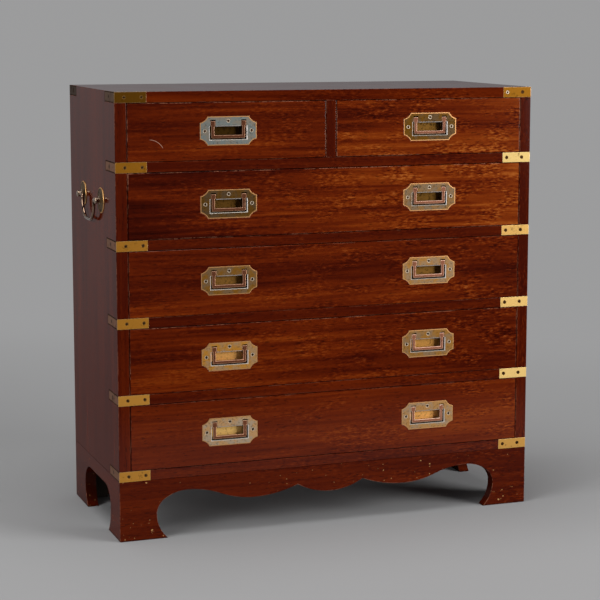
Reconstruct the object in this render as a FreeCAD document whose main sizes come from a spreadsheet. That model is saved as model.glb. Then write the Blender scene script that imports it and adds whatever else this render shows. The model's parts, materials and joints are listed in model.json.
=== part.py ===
import FreeCAD, Part
import math
import os
import re
import Sketcher
from FreeCAD import Vector

# A campaign chest: two short drawers over four long ones, on a shaped base with bracket feet.
# The origin is on the floor under the middle of the chest. +Z is up and the front faces -Y.

# ---------------------------------------------------------------- driving dimensions, millimetres

SIZES = [
    # the case
    ("chest_width", 762, "over the two sides"),
    ("chest_height", 762, "floor to top"),
    ("chest_depth", 336, "front to back"),
    ("side_thickness", 20, "side boards"),
    ("top_thickness", 18, "top board"),
    ("bottom_thickness", 17.5, "bottom board"),
    ("rail_thickness", 17.5, "rails between the drawers"),
    ("rail_depth", 70, "rails, front to back"),
    ("housing_depth", 6, "how far rails, runners and bottom are let into the sides"),
    ("short_opening", 98.5, "height of the short drawers' openings"),
    ("divider_thickness", 18, "upright between the short drawers"),
    ("back_thickness", 8, "back boards"),
    ("back_rebate", 10, "rebate for the back boards, in the sides and top"),
    ("back_joint", 0.4, "open joint between two back boards"),
    ("runner_width", 30, "drawer runners, clear of the sides"),
    ("guide_height", 30, "guide between the short drawers"),
    ("stop_length", 48, "drawer stops, across"),
    ("stop_width", 14, "drawer stops, front to back"),
    ("stop_height", 5, "drawer stops"),
    ("stop_inset", 45, "from the end of an opening to its nearest stop"),
    # the drawers
    ("drawer_gap", 1, "beside and above a drawer"),
    ("running_gap", 0.3, "under a drawer, and between its front and the stops"),
    ("drawer_back_space", 12, "behind a drawer"),
    ("front_thickness", 20, "drawer fronts"),
    ("front_arris", 0.7, "chamfer round a drawer front"),
    ("lining_thickness", 9, "drawer sides and back"),
    ("panel_thickness", 6, "drawer bottoms"),
    ("panel_height", 9, "from a drawer's lower edge to its bottom panel"),
    ("groove_depth", 4, "grooves that hold a drawer's bottom"),
    ("back_drop", 6, "how far a drawer's back lies below its sides"),
    ("dovetail_lap", 5, "wood of the front that hides the dovetails"),
    ("pin_width", 4, "narrow end of a dovetail pin"),
    ("pin_flare", 2.2, "how much a pin widens on each side"),
    # the flush drawer pulls
    ("plate_width", 99.5, "pull plate"),
    ("plate_height", 48.6, "pull plate"),
    ("plate_thickness", 2, "pull plate"),
    ("corner_across", 13.2, "hollow corner of the plate, across"),
    ("corner_up", 10.5, "hollow corner of the plate, up"),
    ("corner_hollow", 2, "depth of the hollow corner's curve"),
    ("seat_gap", 0.15, "between a pull plate and the wood"),
    ("window_width", 64.9, "opening in the plate"),
    ("window_rise", 7.5, "from the plate's middle up to the window's top"),
    ("window_drop", 14.6, "from the plate's middle down to the window's bottom"),
    ("window_bevel", 1.2, "bevel round the window"),
    ("cup_depth", 11.5, "cup behind the plate, from the face"),
    ("cup_wall", 1.2, "metal of the cup"),
    ("cup_gap", 0.5, "between the cup and its mortise"),
    ("ear_spacing", 54.2, "between the middles of the two ear slots"),
    ("ear_width", 9, "ear slots"),
    ("ear_rise", 18.7, "from the plate's middle to the ear slots' tops"),
    ("hinge_rise", 12.6, "from the plate's middle up to the bail's pins"),
    ("knuckle_size", 8.2, "square knuckles of the bail"),
    ("knuckle_gap", 0.25, "beside a knuckle in its slot"),
    ("bail_bar", 5, "square bar of the bail"),
    ("bail_drop", 25, "from the pins to the bail's lower edge"),
    ("bail_inset", 0.3, "bail behind the face of the plate"),
    ("bail_corner", 1, "broken lower corners of the bail"),
    ("pin_diameter", 3, "pins that carry a pull's bail"),
    ("pin_gap", 0.06, "round a pin in its hole"),
    # the brass straps
    ("strap_thickness", 2, "let in flush"),
    ("strap_front", 54, "along the front"),
    ("strap_side", 66, "along the side"),
    ("rear_strap_side", 55, "rear straps, along the side"),
    ("rear_strap_back", 40, "rear straps, along the back"),
    # the carrying handles
    ("handle_height", 574, "floor to the handle's pins"),
    ("post_spacing", 132, "between the two posts"),
    ("post_diameter", 11, "posts"),
    ("post_length", 12.5, "posts, out from the side"),
    ("post_chamfer", 1.5, "broken edge at the end of a post"),
    ("rose_diameter", 44, "round back plates"),
    ("rose_rim", 1.4, "edge of a rose"),
    ("rose_crown", 3.7, "rose beside the post, out from the side"),
    ("eye_distance", 7.5, "from the side to the handle's pins"),
    ("eye_gap", 0.06, "round a handle's pin in its post"),
    ("handle_bar", 6, "round bar of a carrying handle"),
    ("handle_drop", 41, "from the pins to the handle's lower edge"),
    ("handle_corner", 32, "radius of the handle's lower corners"),
    ("handle_shoulder", 5, "radius where a leg turns towards its post"),
    ("handle_arm", 14.5, "from a post to the handle's leg"),
    ("pin_end", 1.5, "pin that shows beyond its post"),
    # the base
    ("base_height", 104, "floor to the case"),
    ("apron_thickness", 20, "front and side aprons, and rear feet"),
    ("foot_width", 84, "front feet, on the floor"),
    ("foot_waist", 65, "front feet, where they are narrowest"),
    ("waist_height", 43, "floor to the narrowest place"),
    ("arch_height", 81.5, "floor to the crown of the front arches"),
    ("arch_reach", 54, "from the waist to the crown"),
    ("lobe_height", 57.5, "floor to the apron's outer lobes"),
    ("lobe_offset", 141, "from the middle to an outer lobe"),
    ("cusp_height", 73, "floor to the cusps"),
    ("cusp_offset", 61, "from the middle to a cusp"),
    ("middle_height", 56, "floor to the middle lobe"),
    ("side_arch_height", 79, "floor to the side arches"),
    ("side_arch_reach", 40, "from the waist to the level part"),
    ("rear_foot_depth", 95, "side aprons' rear feet, on the floor"),
    ("rear_foot_waist", 77, "side aprons' rear feet, where they are narrowest"),
    ("block_size", 28, "glue blocks in the corners"),
    ("block_lift", 3, "glue blocks, clear of the floor"),
    ("strip_size", 20, "glue strips behind the aprons"),
]
LONG_DRAWERS = 4
FRONT_TAILS = 3
# the small pins and the bent bar are drawn with flats, which keeps ten pulls and two handles light
FLATS = 8
REAR_PINS = (0.2, 0.5, 0.8)
BACK_BOARDS = 4
# where the two arcs of a foot's shoulder meet, as shares of its reach and rise
SHOULDER_ACROSS = 0.235
SHOULDER_UP = 0.65

document = FreeCAD.newDocument("campaign_chest")
sheet = document.addObject("Spreadsheet::Sheet", "sizes")
for row, (alias, size, note) in enumerate(SIZES, start=1):
    sheet.set(f"A{row}", note)
    sheet.set(f"B{row}", str(size))
    sheet.setAlias(f"B{row}", alias)
document.recompute()

ALIAS = re.compile(r"\b(" + "|".join(alias for alias, size, note in SIZES) + r")\b")

# ---------------------------------------------------------------- sizes worked out from the others

LEFT = "(-chest_width / 2)"
FRONT = "(-chest_depth / 2)"
BACK_FACE = "(chest_depth / 2 - back_thickness)"
INNER_WIDTH = "(chest_width - 2 * side_thickness)"
HOUSED_WIDTH = f"({INNER_WIDTH} + 2 * housing_depth)"
INNER_DEPTH = "(chest_depth - back_thickness)"
FLOOR = "(base_height + bottom_thickness)"
TOP_UNDERSIDE = "(chest_height - top_thickness)"
LONG_OPENING = (f"(({TOP_UNDERSIDE} - {FLOOR} - short_opening - {LONG_DRAWERS} * rail_thickness)"
                f" / {LONG_DRAWERS})")
SHORT_WIDTH = f"(({INNER_WIDTH} - divider_thickness) / 2)"
PULL_OFFSET = f"((divider_thickness + {SHORT_WIDTH}) / 2)"
DRAWER_DEPTH = f"({INNER_DEPTH} - drawer_back_space)"


def rail_floor(number):
    """Underside of a rail. Rail 1 is under the short drawers."""
    return (f"({TOP_UNDERSIDE} - short_opening - {number} * rail_thickness"
            f" - {number - 1} * {LONG_OPENING})")


def long_floor(number):
    """Floor of a long drawer's opening. Drawer 1 is the highest."""
    return f"({rail_floor(number)} - {LONG_OPENING})"


SHORT_FLOOR = f"({rail_floor(1)} + rail_thickness)"

# ---------------------------------------------------------------- helpers

nodes = {}


def linked(formula):
    """The formula with every size's name pointing into the sheet."""
    return ALIAS.sub(r"sizes.\1", formula)


def measure(formula):
    """The value of a formula now, in millimetres."""
    return float(sheet.evalExpression(linked(formula)))


def bind(item, name, formula):
    item.setExpression(name, linked(formula))


def place(item, across="0", depth="0", up="0"):
    """Bind where an object stands."""
    bind(item, "Placement.Base.x", across)
    bind(item, "Placement.Base.y", depth)
    bind(item, "Placement.Base.z", up)
    return item


def node(label, item):
    """Name an object as one of the chest's sub-parts."""
    item.Label = label
    nodes[label] = item
    return item


def block(name, size, corner):
    """A square-cut piece of wood: its size, and its left front lower corner."""
    item = document.addObject("Part::Box", name)
    for side, formula in zip(("Length", "Width", "Height"), size):
        bind(item, side, formula)
    return place(item, *corner)


def group(name, items):
    item = document.addObject("Part::Compound", name)
    item.Links = items
    return item


def joined(name, items):
    item = document.addObject("Part::MultiFuse", name)
    item.Shapes = items
    return item


def cut(name, base, tools):
    """Cut one piece with its neighbours, so that they meet face to face."""
    item = document.addObject("Part::Cut", name)
    item.Base = base
    item.Tool = tools[0] if len(tools) == 1 else joined(name + "_tools", tools)
    return item


def mirrored(name, source):
    """The same piece on the other side of the chest's middle plane."""
    item = document.addObject("Part::Mirroring", name)
    item.Source = source
    item.Normal = Vector(1, 0, 0)
    return item


def copied(name, source):
    item = document.addObject("App::Link", name)
    item.LinkedObject = source
    return item


def new_body(name):
    return document.addObject("PartDesign::Body", name)


def origin_feature(body, role):
    for feature in body.Origin.OriginFeatures:
        if feature.Role == role:
            return feature


def new_sketch(body, plane):
    sketch = body.newObject("Sketcher::SketchObject", body.Name + "_sketch")
    sketch.AttachmentSupport = [(origin_feature(body, plane + "_Plane"), "")]
    sketch.MapMode = "FlatFace"
    return sketch


def hold(sketch, kind, edge, end, formula):
    """Fix one coordinate of one end of an edge."""
    number = sketch.addConstraint(Sketcher.Constraint(kind, edge, end, measure(formula)))
    bind(sketch, f"Constraints[{number}]", formula)


def arc_between(begin, end, radius):
    """The shorter arc from begin to end. A positive radius turns left, a negative one right."""
    chord = end - begin
    left = Vector(-chord.y, chord.x, 0).normalize()
    rise = abs(radius) - math.sqrt(max(radius ** 2 - (chord.Length / 2) ** 2, 0))
    middle = (begin + end) / 2 - left * math.copysign(rise, radius)
    return Part.Arc(begin, middle, end)


def draw(sketch, corners, closed=True):
    """Draw a line through corners and bind it to the sheet.

    A corner is (across, up), which a straight edge leads to, or (across, up, radius), which an arc
    leads to. Each entry is a formula.
    """
    spots = [Vector(measure(corner[0]), measure(corner[1]), 0) for corner in corners]
    runs = []
    for index in range(0 if closed else 1, len(corners)):
        begin = spots[index - 1]
        end = spots[index]
        if len(corners[index]) == 2:
            edge = sketch.addGeometry(Part.LineSegment(begin, end))
            first = 1
        else:
            radius = measure(corners[index][2])
            edge = sketch.addGeometry(arc_between(begin, end, radius))
            first = 1 if radius > 0 else 2
            number = sketch.addConstraint(Sketcher.Constraint("Radius", edge, abs(radius)))
            bind(sketch, f"Constraints[{number}]", f"abs({corners[index][2]})")
        hold(sketch, "DistanceX", edge, first, corners[index - 1][0])
        hold(sketch, "DistanceY", edge, first, corners[index - 1][1])
        runs.append((edge, first))
    follows = zip(runs, runs[1:] + runs[:1]) if closed else zip(runs, runs[1:])
    for (edge, first), (next_edge, next_first) in follows:
        sketch.addConstraint(Sketcher.Constraint("Coincident", edge, 3 - first, next_edge, next_first))
    if not closed:
        edge, first = runs[-1]
        hold(sketch, "DistanceX", edge, 3 - first, corners[-1][0])
        hold(sketch, "DistanceY", edge, 3 - first, corners[-1][1])


def flatted(across, up, radius, outside=False):
    """A round drawn with flats: its corners lie on the circle or, outside it, its flats do."""
    reach = f"(({radius}) / {math.cos(math.pi / FLATS):.6f})" if outside else f"({radius})"
    turns = [2 * math.pi * (number + 0.5) / FLATS for number in range(FLATS)]
    return [(f"({across} + {math.cos(turn):.6f} * {reach})", f"({up} + {math.sin(turn):.6f} * {reach})")
            for turn in turns]


def rectangle(left, low, right, high):
    return [(left, low), (right, low), (right, high), (left, high)]


def pad(body, plane, outlines, length, backwards=False):
    """Draw closed outlines on an origin plane and give them thickness."""
    sketch = new_sketch(body, plane)
    for outline in outlines:
        draw(sketch, outline)
    feature = body.newObject("PartDesign::Pad", body.Name + "_pad")
    feature.Profile = sketch
    bind(feature, "Length", length)
    feature.Reversed = backwards
    body.Tip = feature
    return feature


def remove(body, sketch, length=None, taper=0, backwards=False):
    """Cut a drawn outline out of the body, to a depth or right through, and see that it cuts."""
    document.recompute()
    before = body.Shape.Volume
    feature = body.newObject("PartDesign::Pocket", body.Name + "_pocket")
    feature.Profile = sketch
    if length is None:
        feature.Type = "ThroughAll"
        feature.Midplane = True
    else:
        bind(feature, "Length", length)
        feature.TaperAngle = taper
        feature.Reversed = backwards
    body.Tip = feature
    document.recompute()
    if not body.Shape.Volume < before:
        raise RuntimeError(f"a cut in {body.Name} removes nothing")
    return feature


def quarter_radius(along, away):
    """Radius of an arc that starts along one direction and has moved this far away from it."""
    return f"(((({along})^2) + (({away})^2)) / (2 * ({away})))"


# ---------------------------------------------------------------- brass straps


def front_strap(name, floor, height):
    """An L of brass round a front corner, let in flush with both faces."""
    body = new_body(name)
    corner = [("0", "0"), ("strap_front", "0"), ("strap_front", "strap_thickness"),
              ("strap_thickness", "strap_thickness"), ("strap_thickness", "strap_side"),
              ("0", "strap_side")]
    pad(body, "XY", [corner], height)
    return place(body, LEFT, FRONT, floor)


def make_straps():
    """Six straps on each front corner and one on each upper rear corner."""
    levels = {"top": (TOP_UNDERSIDE, "top_thickness")}
    for number in range(1, LONG_DRAWERS + 1):
        levels[f"rail_{number}"] = (rail_floor(number), "rail_thickness")
    levels["bottom"] = ("base_height", "bottom_thickness")
    pairs = {}
    for level, (floor, height) in levels.items():
        left = front_strap(f"strap_{level}", floor, height)
        pairs[level] = [left, mirrored(f"strap_{level}_right", left)]
    node("front_straps", group("front_straps", [strap for pair in pairs.values() for strap in pair]))

    rear = new_body("strap_rear")
    corner = [("0", "0"), ("0", "-rear_strap_side"), ("strap_thickness", "-rear_strap_side"),
              ("strap_thickness", "-strap_thickness"), ("rear_strap_back", "-strap_thickness"),
              ("rear_strap_back", "0")]
    pad(rear, "XY", [corner], "top_thickness")
    place(rear, LEFT, "chest_depth / 2", TOP_UNDERSIDE)
    pairs["rear"] = [rear, mirrored("strap_rear_right", rear)]
    node("rear_straps", group("rear_straps", pairs["rear"]))
    return pairs


# ---------------------------------------------------------------- the case


def make_case(straps):
    """Sides, top, bottom, rails, divider, runners, guide, stops and back boards."""
    back_space = block("back_space",
                       (f"{INNER_WIDTH} + 2 * back_rebate", "back_thickness",
                        f"{TOP_UNDERSIDE} + back_rebate - base_height"),
                       (f"-({INNER_WIDTH} / 2 + back_rebate)", BACK_FACE, "base_height"))

    rail_levels = [rail_floor(number) for number in range(1, LONG_DRAWERS + 1)]
    housings = [block(f"housing_{number}", (HOUSED_WIDTH, INNER_DEPTH, "rail_thickness"),
                      (f"-{HOUSED_WIDTH} / 2", FRONT, level))
                for number, level in enumerate(rail_levels, start=1)]
    bottom_blank = block("bottom_blank", (HOUSED_WIDTH, INNER_DEPTH, "bottom_thickness"),
                         (f"-{HOUSED_WIDTH} / 2", FRONT, "base_height"))

    # a side runs down to the base, and a mitre that runs to the outer edge joins it to the top
    side_blank = new_body("side_blank")
    pad(side_blank, "XZ",
        [[("0", "0"), ("side_thickness", "0"), ("side_thickness", f"{TOP_UNDERSIDE} - base_height"),
          ("0", "chest_height - base_height")]],
        "chest_depth", backwards=True)
    place(side_blank, LEFT, FRONT, "base_height")
    left_straps = [pair[0] for pair in straps.values()]
    side = cut("side_left", side_blank, [back_space, bottom_blank] + housings + left_straps)
    node("side_left", side)
    node("side_right", mirrored("side_right", side))

    top_blank = new_body("top_blank")
    pad(top_blank, "XZ",
        [[(f"-{INNER_WIDTH} / 2", "0"), (f"{INNER_WIDTH} / 2", "0"),
          ("chest_width / 2", "top_thickness"), ("-chest_width / 2", "top_thickness")]],
        "chest_depth", backwards=True)
    place(top_blank, "0", FRONT, TOP_UNDERSIDE)
    node("top_board", cut("top_board", top_blank, [back_space] + straps["top"] + straps["rear"]))
    node("bottom_board", cut("bottom_board", bottom_blank, straps["bottom"]))

    for number, level in enumerate(rail_levels, start=1):
        blank = block(f"rail_blank_{number}", (HOUSED_WIDTH, "rail_depth", "rail_thickness"),
                      (f"-{HOUSED_WIDTH} / 2", FRONT, level))
        node(f"drawer_rail_{number}", cut(f"drawer_rail_{number}", blank, straps[f"rail_{number}"]))

    node("short_drawer_divider",
         block("short_drawer_divider", ("divider_thickness", "rail_depth", "short_opening"),
               ("-divider_thickness / 2", FRONT, SHORT_FLOOR)))
    node("divider_guide",
         block("divider_guide",
               ("divider_thickness", f"{INNER_DEPTH} - rail_depth", "guide_height"),
               ("-divider_thickness / 2", f"{FRONT} + rail_depth", SHORT_FLOOR)))

    runners = []
    for number, level in enumerate(rail_levels, start=1):
        left = block(f"runner_{number}",
                     ("housing_depth + runner_width", f"{INNER_DEPTH} - rail_depth", "rail_thickness"),
                     (f"-{HOUSED_WIDTH} / 2", f"{FRONT} + rail_depth", level))
        runners += [left, mirrored(f"runner_{number}_right", left)]
    runners.append(block("runner_centre",
                         ("divider_thickness + 2 * runner_width", f"{INNER_DEPTH} - rail_depth",
                          "rail_thickness"),
                         ("-(divider_thickness / 2 + runner_width)", f"{FRONT} + rail_depth",
                          rail_levels[0])))
    node("drawer_runners", group("drawer_runners", runners))

    stops = []
    stop_size = ("stop_length", "stop_width", "stop_height")
    stop_front = f"{FRONT} + front_thickness + running_gap"
    outer_stop = f"-({INNER_WIDTH} / 2 - stop_inset)"
    inner_stop = "-(divider_thickness / 2 + stop_inset + stop_length)"
    for number in range(1, LONG_DRAWERS + 1):
        stops.append(block(f"stop_{number}", stop_size, (outer_stop, stop_front, long_floor(number))))
    stops.append(block("stop_short_outer", stop_size, (outer_stop, stop_front, SHORT_FLOOR)))
    stops.append(block("stop_short_inner", stop_size, (inner_stop, stop_front, SHORT_FLOOR)))
    stops += [mirrored(stop.Name + "_right", stop) for stop in stops]
    node("drawer_stops", group("drawer_stops", stops))

    pitch = f"(({TOP_UNDERSIDE} + back_rebate - base_height + back_joint) / {BACK_BOARDS})"
    boards = []
    for number in range(BACK_BOARDS):
        boards.append(block(f"back_board_{number}",
                            (f"{INNER_WIDTH} + 2 * back_rebate", "back_thickness",
                             f"{pitch} - back_joint"),
                            (f"-({INNER_WIDTH} / 2 + back_rebate)", BACK_FACE,
                             f"base_height + {number} * {pitch}")))
    boards[-1] = cut("back_board_top", boards[-1], straps["rear"])
    node("back_boards", group("back_boards", boards))


# ---------------------------------------------------------------- the base


def foot_curve(corner, direction, width, waist, reach, crown):
    """A bracket foot's inner edge from the floor up: a hollow, a waist and a two-arc shoulder.

    corner is the outer edge of the foot, direction is 1 if the foot's inside lies towards +, and
    the curve is given as it runs away from the floor on the left foot.
    """
    def inwards(distance):
        return f"({corner} + {direction} * ({distance}))"

    rise = f"({crown} - waist_height)"
    shoulder = (f"({waist} + {SHOULDER_ACROSS} * {reach})", f"(waist_height + {SHOULDER_UP} * {rise})")
    hollow = quarter_radius("waist_height", f"{width} - {waist}")
    lower = quarter_radius(f"{SHOULDER_UP} * {rise}", f"{SHOULDER_ACROSS} * {reach}")
    upper = quarter_radius(f"(1 - {SHOULDER_ACROSS}) * {reach}", f"(1 - {SHOULDER_UP}) * {rise}")
    places = [(inwards(width), "0"), (inwards(waist), "waist_height"),
              (inwards(shoulder[0]), shoulder[1]), (inwards(f"{waist} + {reach}"), crown)]
    return places, [hollow, lower, upper]


def climb(curve):
    """The corners of a foot curve from the floor to its crown, for the foot on the left."""
    places, radii = curve
    return [places[0]] + [spot + (f"-{radius}",) for spot, radius in zip(places[1:], radii)]


def descend(curve):
    """The corners of a foot curve after its crown, down to the floor, for the foot on the right."""
    places, radii = curve
    return [spot + (f"-{radius}",) for spot, radius in zip(places[-2::-1], radii[::-1])]


def apron_outline():
    """The front apron, anticlockwise from the left foot's outer corner."""
    left_foot = foot_curve("-chest_width / 2", 1, "foot_width", "foot_waist", "arch_reach", "arch_height")
    right_foot = foot_curve("chest_width / 2", -1, "foot_width", "foot_waist", "arch_reach", "arch_height")
    crown_offset = "(chest_width / 2 - foot_waist - arch_reach)"
    half_run = f"(({crown_offset} - lobe_offset) / 2)"
    half_fall = "((arch_height - lobe_height) / 2)"
    swing = quarter_radius(half_run, half_fall)
    lobe = quarter_radius("lobe_offset - cusp_offset", "cusp_height - lobe_height")
    middle = quarter_radius("cusp_offset", "cusp_height - middle_height")
    turn = (f"(lobe_offset + {half_run})", f"(lobe_height + {half_fall})")
    return ([("-chest_width / 2", "0")] + climb(left_foot)
            + [(f"-{turn[0]}", turn[1], f"-{swing}"), ("-lobe_offset", "lobe_height", swing),
               ("-cusp_offset", "cusp_height", lobe), ("cusp_offset", "cusp_height", middle),
               ("lobe_offset", "lobe_height", lobe), (turn[0], turn[1], swing),
               (crown_offset, "arch_height", f"-{swing}")]
            + descend(right_foot)
            + [("chest_width / 2", "0"), ("chest_width / 2", "base_height"),
               ("-chest_width / 2", "base_height")])


def side_outline():
    """A side apron, from the front: a front foot, a level arch and a deeper rear foot."""
    front_foot = foot_curve("0", 1, "foot_width", "foot_waist", "side_arch_reach", "side_arch_height")
    rear_foot = foot_curve("chest_depth", -1, "rear_foot_depth", "rear_foot_waist", "side_arch_reach",
                           "side_arch_height")
    crown = ("chest_depth - rear_foot_waist - side_arch_reach", "side_arch_height")
    return ([("0", "0")] + climb(front_foot) + [crown] + descend(rear_foot)
            + [("chest_depth", "0"), ("chest_depth", "base_height"), ("0", "base_height")])


def rear_foot_outline():
    """A rear foot, between a side apron and the open middle of the back."""
    foot = foot_curve("0", 1, "foot_width", "foot_waist", "arch_reach", "arch_height")
    return ([("apron_thickness", "0")] + climb(foot)
            + [("foot_waist + arch_reach", "base_height"), ("apron_thickness", "base_height")])


def make_base():
    """Aprons mitred at the front corners, rear feet, and the blocks that are glued behind them."""
    front = new_body("front_apron")
    pad(front, "XZ", [apron_outline()], "apron_thickness", backwards=True)
    mitres = new_sketch(front, "XY")
    draw(mitres, [("-chest_width / 2", "0"), ("-chest_width / 2 + apron_thickness", "apron_thickness"),
                  ("-chest_width / 2", "apron_thickness")])
    draw(mitres, [("chest_width / 2", "0"), ("chest_width / 2", "apron_thickness"),
                  ("chest_width / 2 - apron_thickness", "apron_thickness")])
    remove(front, mitres)
    node("front_apron", place(front, "0", FRONT))

    side = new_body("side_apron_left")
    pad(side, "YZ", [side_outline()], "apron_thickness")
    mitre = new_sketch(side, "XY")
    draw(mitre, [("0", "0"), ("apron_thickness", "0"), ("apron_thickness", "apron_thickness")])
    remove(side, mitre)
    node("side_apron_left", place(side, LEFT, FRONT))
    node("side_apron_right", mirrored("side_apron_right", side))

    rear = new_body("rear_foot")
    pad(rear, "XZ", [rear_foot_outline()], "apron_thickness", backwards=True)
    place(rear, LEFT, "chest_depth / 2 - apron_thickness")
    node("rear_feet", group("rear_feet", [rear, mirrored("rear_foot_right", rear)]))

    inner_left = f"{LEFT} + apron_thickness"
    inner_front = f"{FRONT} + apron_thickness"
    inner_depth = "(chest_depth - 2 * apron_thickness)"
    block_height = "base_height - block_lift"
    blocks = [block("glue_block_front", ("block_size", "block_size", block_height),
                    (inner_left, inner_front, "block_lift")),
              block("glue_block_rear", ("block_size", "block_size", block_height),
                    (inner_left, f"{inner_front} + {inner_depth} - block_size", "block_lift")),
              block("glue_strip_side",
                    ("strip_size", f"{inner_depth} - 2 * block_size", "strip_size"),
                    (inner_left, f"{inner_front} + block_size", "base_height - strip_size"))]
    blocks += [mirrored(item.Name + "_right", item) for item in blocks]
    blocks.append(block("glue_strip_front",
                        ("chest_width - 2 * apron_thickness - 2 * block_size", "strip_size", "strip_size"),
                        (f"{inner_left} + block_size", inner_front, "base_height - strip_size")))
    node("glue_blocks", group("glue_blocks", blocks))


# ---------------------------------------------------------------- flush drawer pulls

HINGE_DEPTH = "(bail_inset + knuckle_size / 2)"
KNUCKLE_WIDTH = "(ear_width - 2 * knuckle_gap)"


def plate_outline(grow="0"):
    """An oblong with four hollow corners. grow widens it all round, for its seat in the wood."""
    across = f"(plate_width / 2 + {grow})"
    up = f"(plate_height / 2 + {grow})"
    inner = f"({across} - corner_across)"
    upper = f"({up} - corner_up)"
    half_chord = "(sqrt((corner_across)^2 + (corner_up)^2) / 2)"
    hollow = f"-((({half_chord})^2 + (corner_hollow)^2) / (2 * corner_hollow))"
    return [(f"-{inner}", f"-{up}", hollow), (inner, f"-{up}"), (across, f"-{upper}", hollow),
            (across, upper), (inner, up, hollow), (f"-{inner}", up), (f"-{across}", upper, hollow),
            (f"-{across}", f"-{upper}")]


def cup_outline(grow="0"):
    """The window with an ear slot standing on it at each side."""
    window = f"(window_width / 2 + {grow})"
    outer = f"(ear_spacing / 2 + ear_width / 2 + {grow})"
    inner = f"(ear_spacing / 2 - ear_width / 2 - {grow})"
    low = f"-(window_drop + {grow})"
    shelf = f"(window_rise + {grow})"
    high = f"(ear_rise + {grow})"
    return [(f"-{window}", low), (window, low), (window, shelf), (outer, shelf), (outer, high),
            (inner, high), (inner, shelf), (f"-{inner}", shelf), (f"-{inner}", high),
            (f"-{outer}", high), (f"-{outer}", shelf), (f"-{window}", shelf)]


def window_outline(grow):
    return rectangle(f"-(window_width / 2 + {grow})", f"-(window_drop + {grow})",
                     f"(window_width / 2 + {grow})", f"(window_rise + {grow})")


def make_pull_plate():
    """Plate and cup in one brass casting, with its origin in the middle of the plate's face."""
    body = new_body("pull_plate")
    pad(body, "XZ", [plate_outline()], "plate_thickness", backwards=True)
    pad(body, "XZ", [cup_outline("cup_wall")], "cup_depth + cup_wall", backwards=True)
    inside = new_sketch(body, "XZ")
    draw(inside, cup_outline())
    remove(body, inside, "cup_depth")
    bevel = new_sketch(body, "XZ")
    draw(bevel, window_outline("window_bevel"))
    remove(body, bevel, "window_bevel", taper=-45)
    for direction in (1, -1):
        hole = new_sketch(body, "YZ")
        bind(hole, "AttachmentOffset.Base.z", f"{direction} * (ear_spacing / 2 + ear_width / 2)")
        draw(hole, flatted(HINGE_DEPTH, "hinge_rise", "pin_diameter / 2 + pin_gap", outside=True))
        remove(body, hole, "cup_wall", backwards=direction > 0)
    return body


def make_pull_seat():
    """What is cut out of a drawer front for one pull: a shallow seat and a mortise behind it."""
    body = new_body("pull_seat")
    pad(body, "XZ", [plate_outline("seat_gap")], "plate_thickness", backwards=True)
    room = "(cup_wall + cup_gap)"
    pad(body, "XZ",
        [rectangle(f"-(window_width / 2 + {room})", f"-(window_drop + {room})",
                   f"(window_width / 2 + {room})", f"(ear_rise + {room})")],
        "cup_depth + cup_wall + cup_gap", backwards=True)
    return body


def make_pull_bail():
    """A square-bar bail with two square knuckles, each with a pin that turns in the outer wall."""
    body = new_body("pull_bail")
    outer = "(ear_spacing / 2 + bail_bar / 2)"
    inner = "(ear_spacing / 2 - bail_bar / 2)"
    low = "(hinge_rise - bail_drop)"
    sill = f"({low} + bail_bar)"
    high = "(hinge_rise + knuckle_size / 2)"
    bar = [(f"-({outer} - bail_corner)", low), (f"({outer} - bail_corner)", low),
           (outer, f"({low} + bail_corner)"), (outer, "hinge_rise"),
           (inner, "hinge_rise"), (inner, sill), (f"-{inner}", sill), (f"-{inner}", "hinge_rise"),
           (f"-{outer}", "hinge_rise"), (f"-{outer}", f"({low} + bail_corner)")]
    pad(body, "XZ", [bar], "bail_bar", backwards=True)
    foot = "(hinge_rise - knuckle_size / 2)"
    knuckle_outer = f"(ear_spacing / 2 + {KNUCKLE_WIDTH} / 2)"
    knuckle_inner = f"(ear_spacing / 2 - {KNUCKLE_WIDTH} / 2)"
    pad(body, "XZ", [rectangle(knuckle_inner, foot, knuckle_outer, high),
                     rectangle(f"-{knuckle_outer}", foot, f"-{knuckle_inner}", high)],
        "knuckle_size", backwards=True)
    for direction in (1, -1):
        section = new_sketch(body, "YZ")
        bind(section, "AttachmentOffset.Base.z", f"{direction} * {knuckle_outer}")
        draw(section, flatted("knuckle_size / 2", "hinge_rise", "pin_diameter / 2"))
        pin = body.newObject("PartDesign::Pad", "pull_pin")
        pin.Profile = section
        pin.Reversed = direction < 0
        bind(pin, "Length", "knuckle_gap + cup_wall")
        body.Tip = pin
    return body


# ---------------------------------------------------------------- drawers


def pin_outline(middle, narrow_depth, wide_depth):
    """One dovetail pin seen from the side of the drawer."""
    narrow = "(pin_width / 2)"
    wide = "(pin_width / 2 + pin_flare)"
    corners = [(narrow_depth, f"({middle} - {narrow})"), (wide_depth, f"({middle} - {wide})"),
               (wide_depth, f"({middle} + {wide})"), (narrow_depth, f"({middle} + {narrow})")]
    return corners


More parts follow.
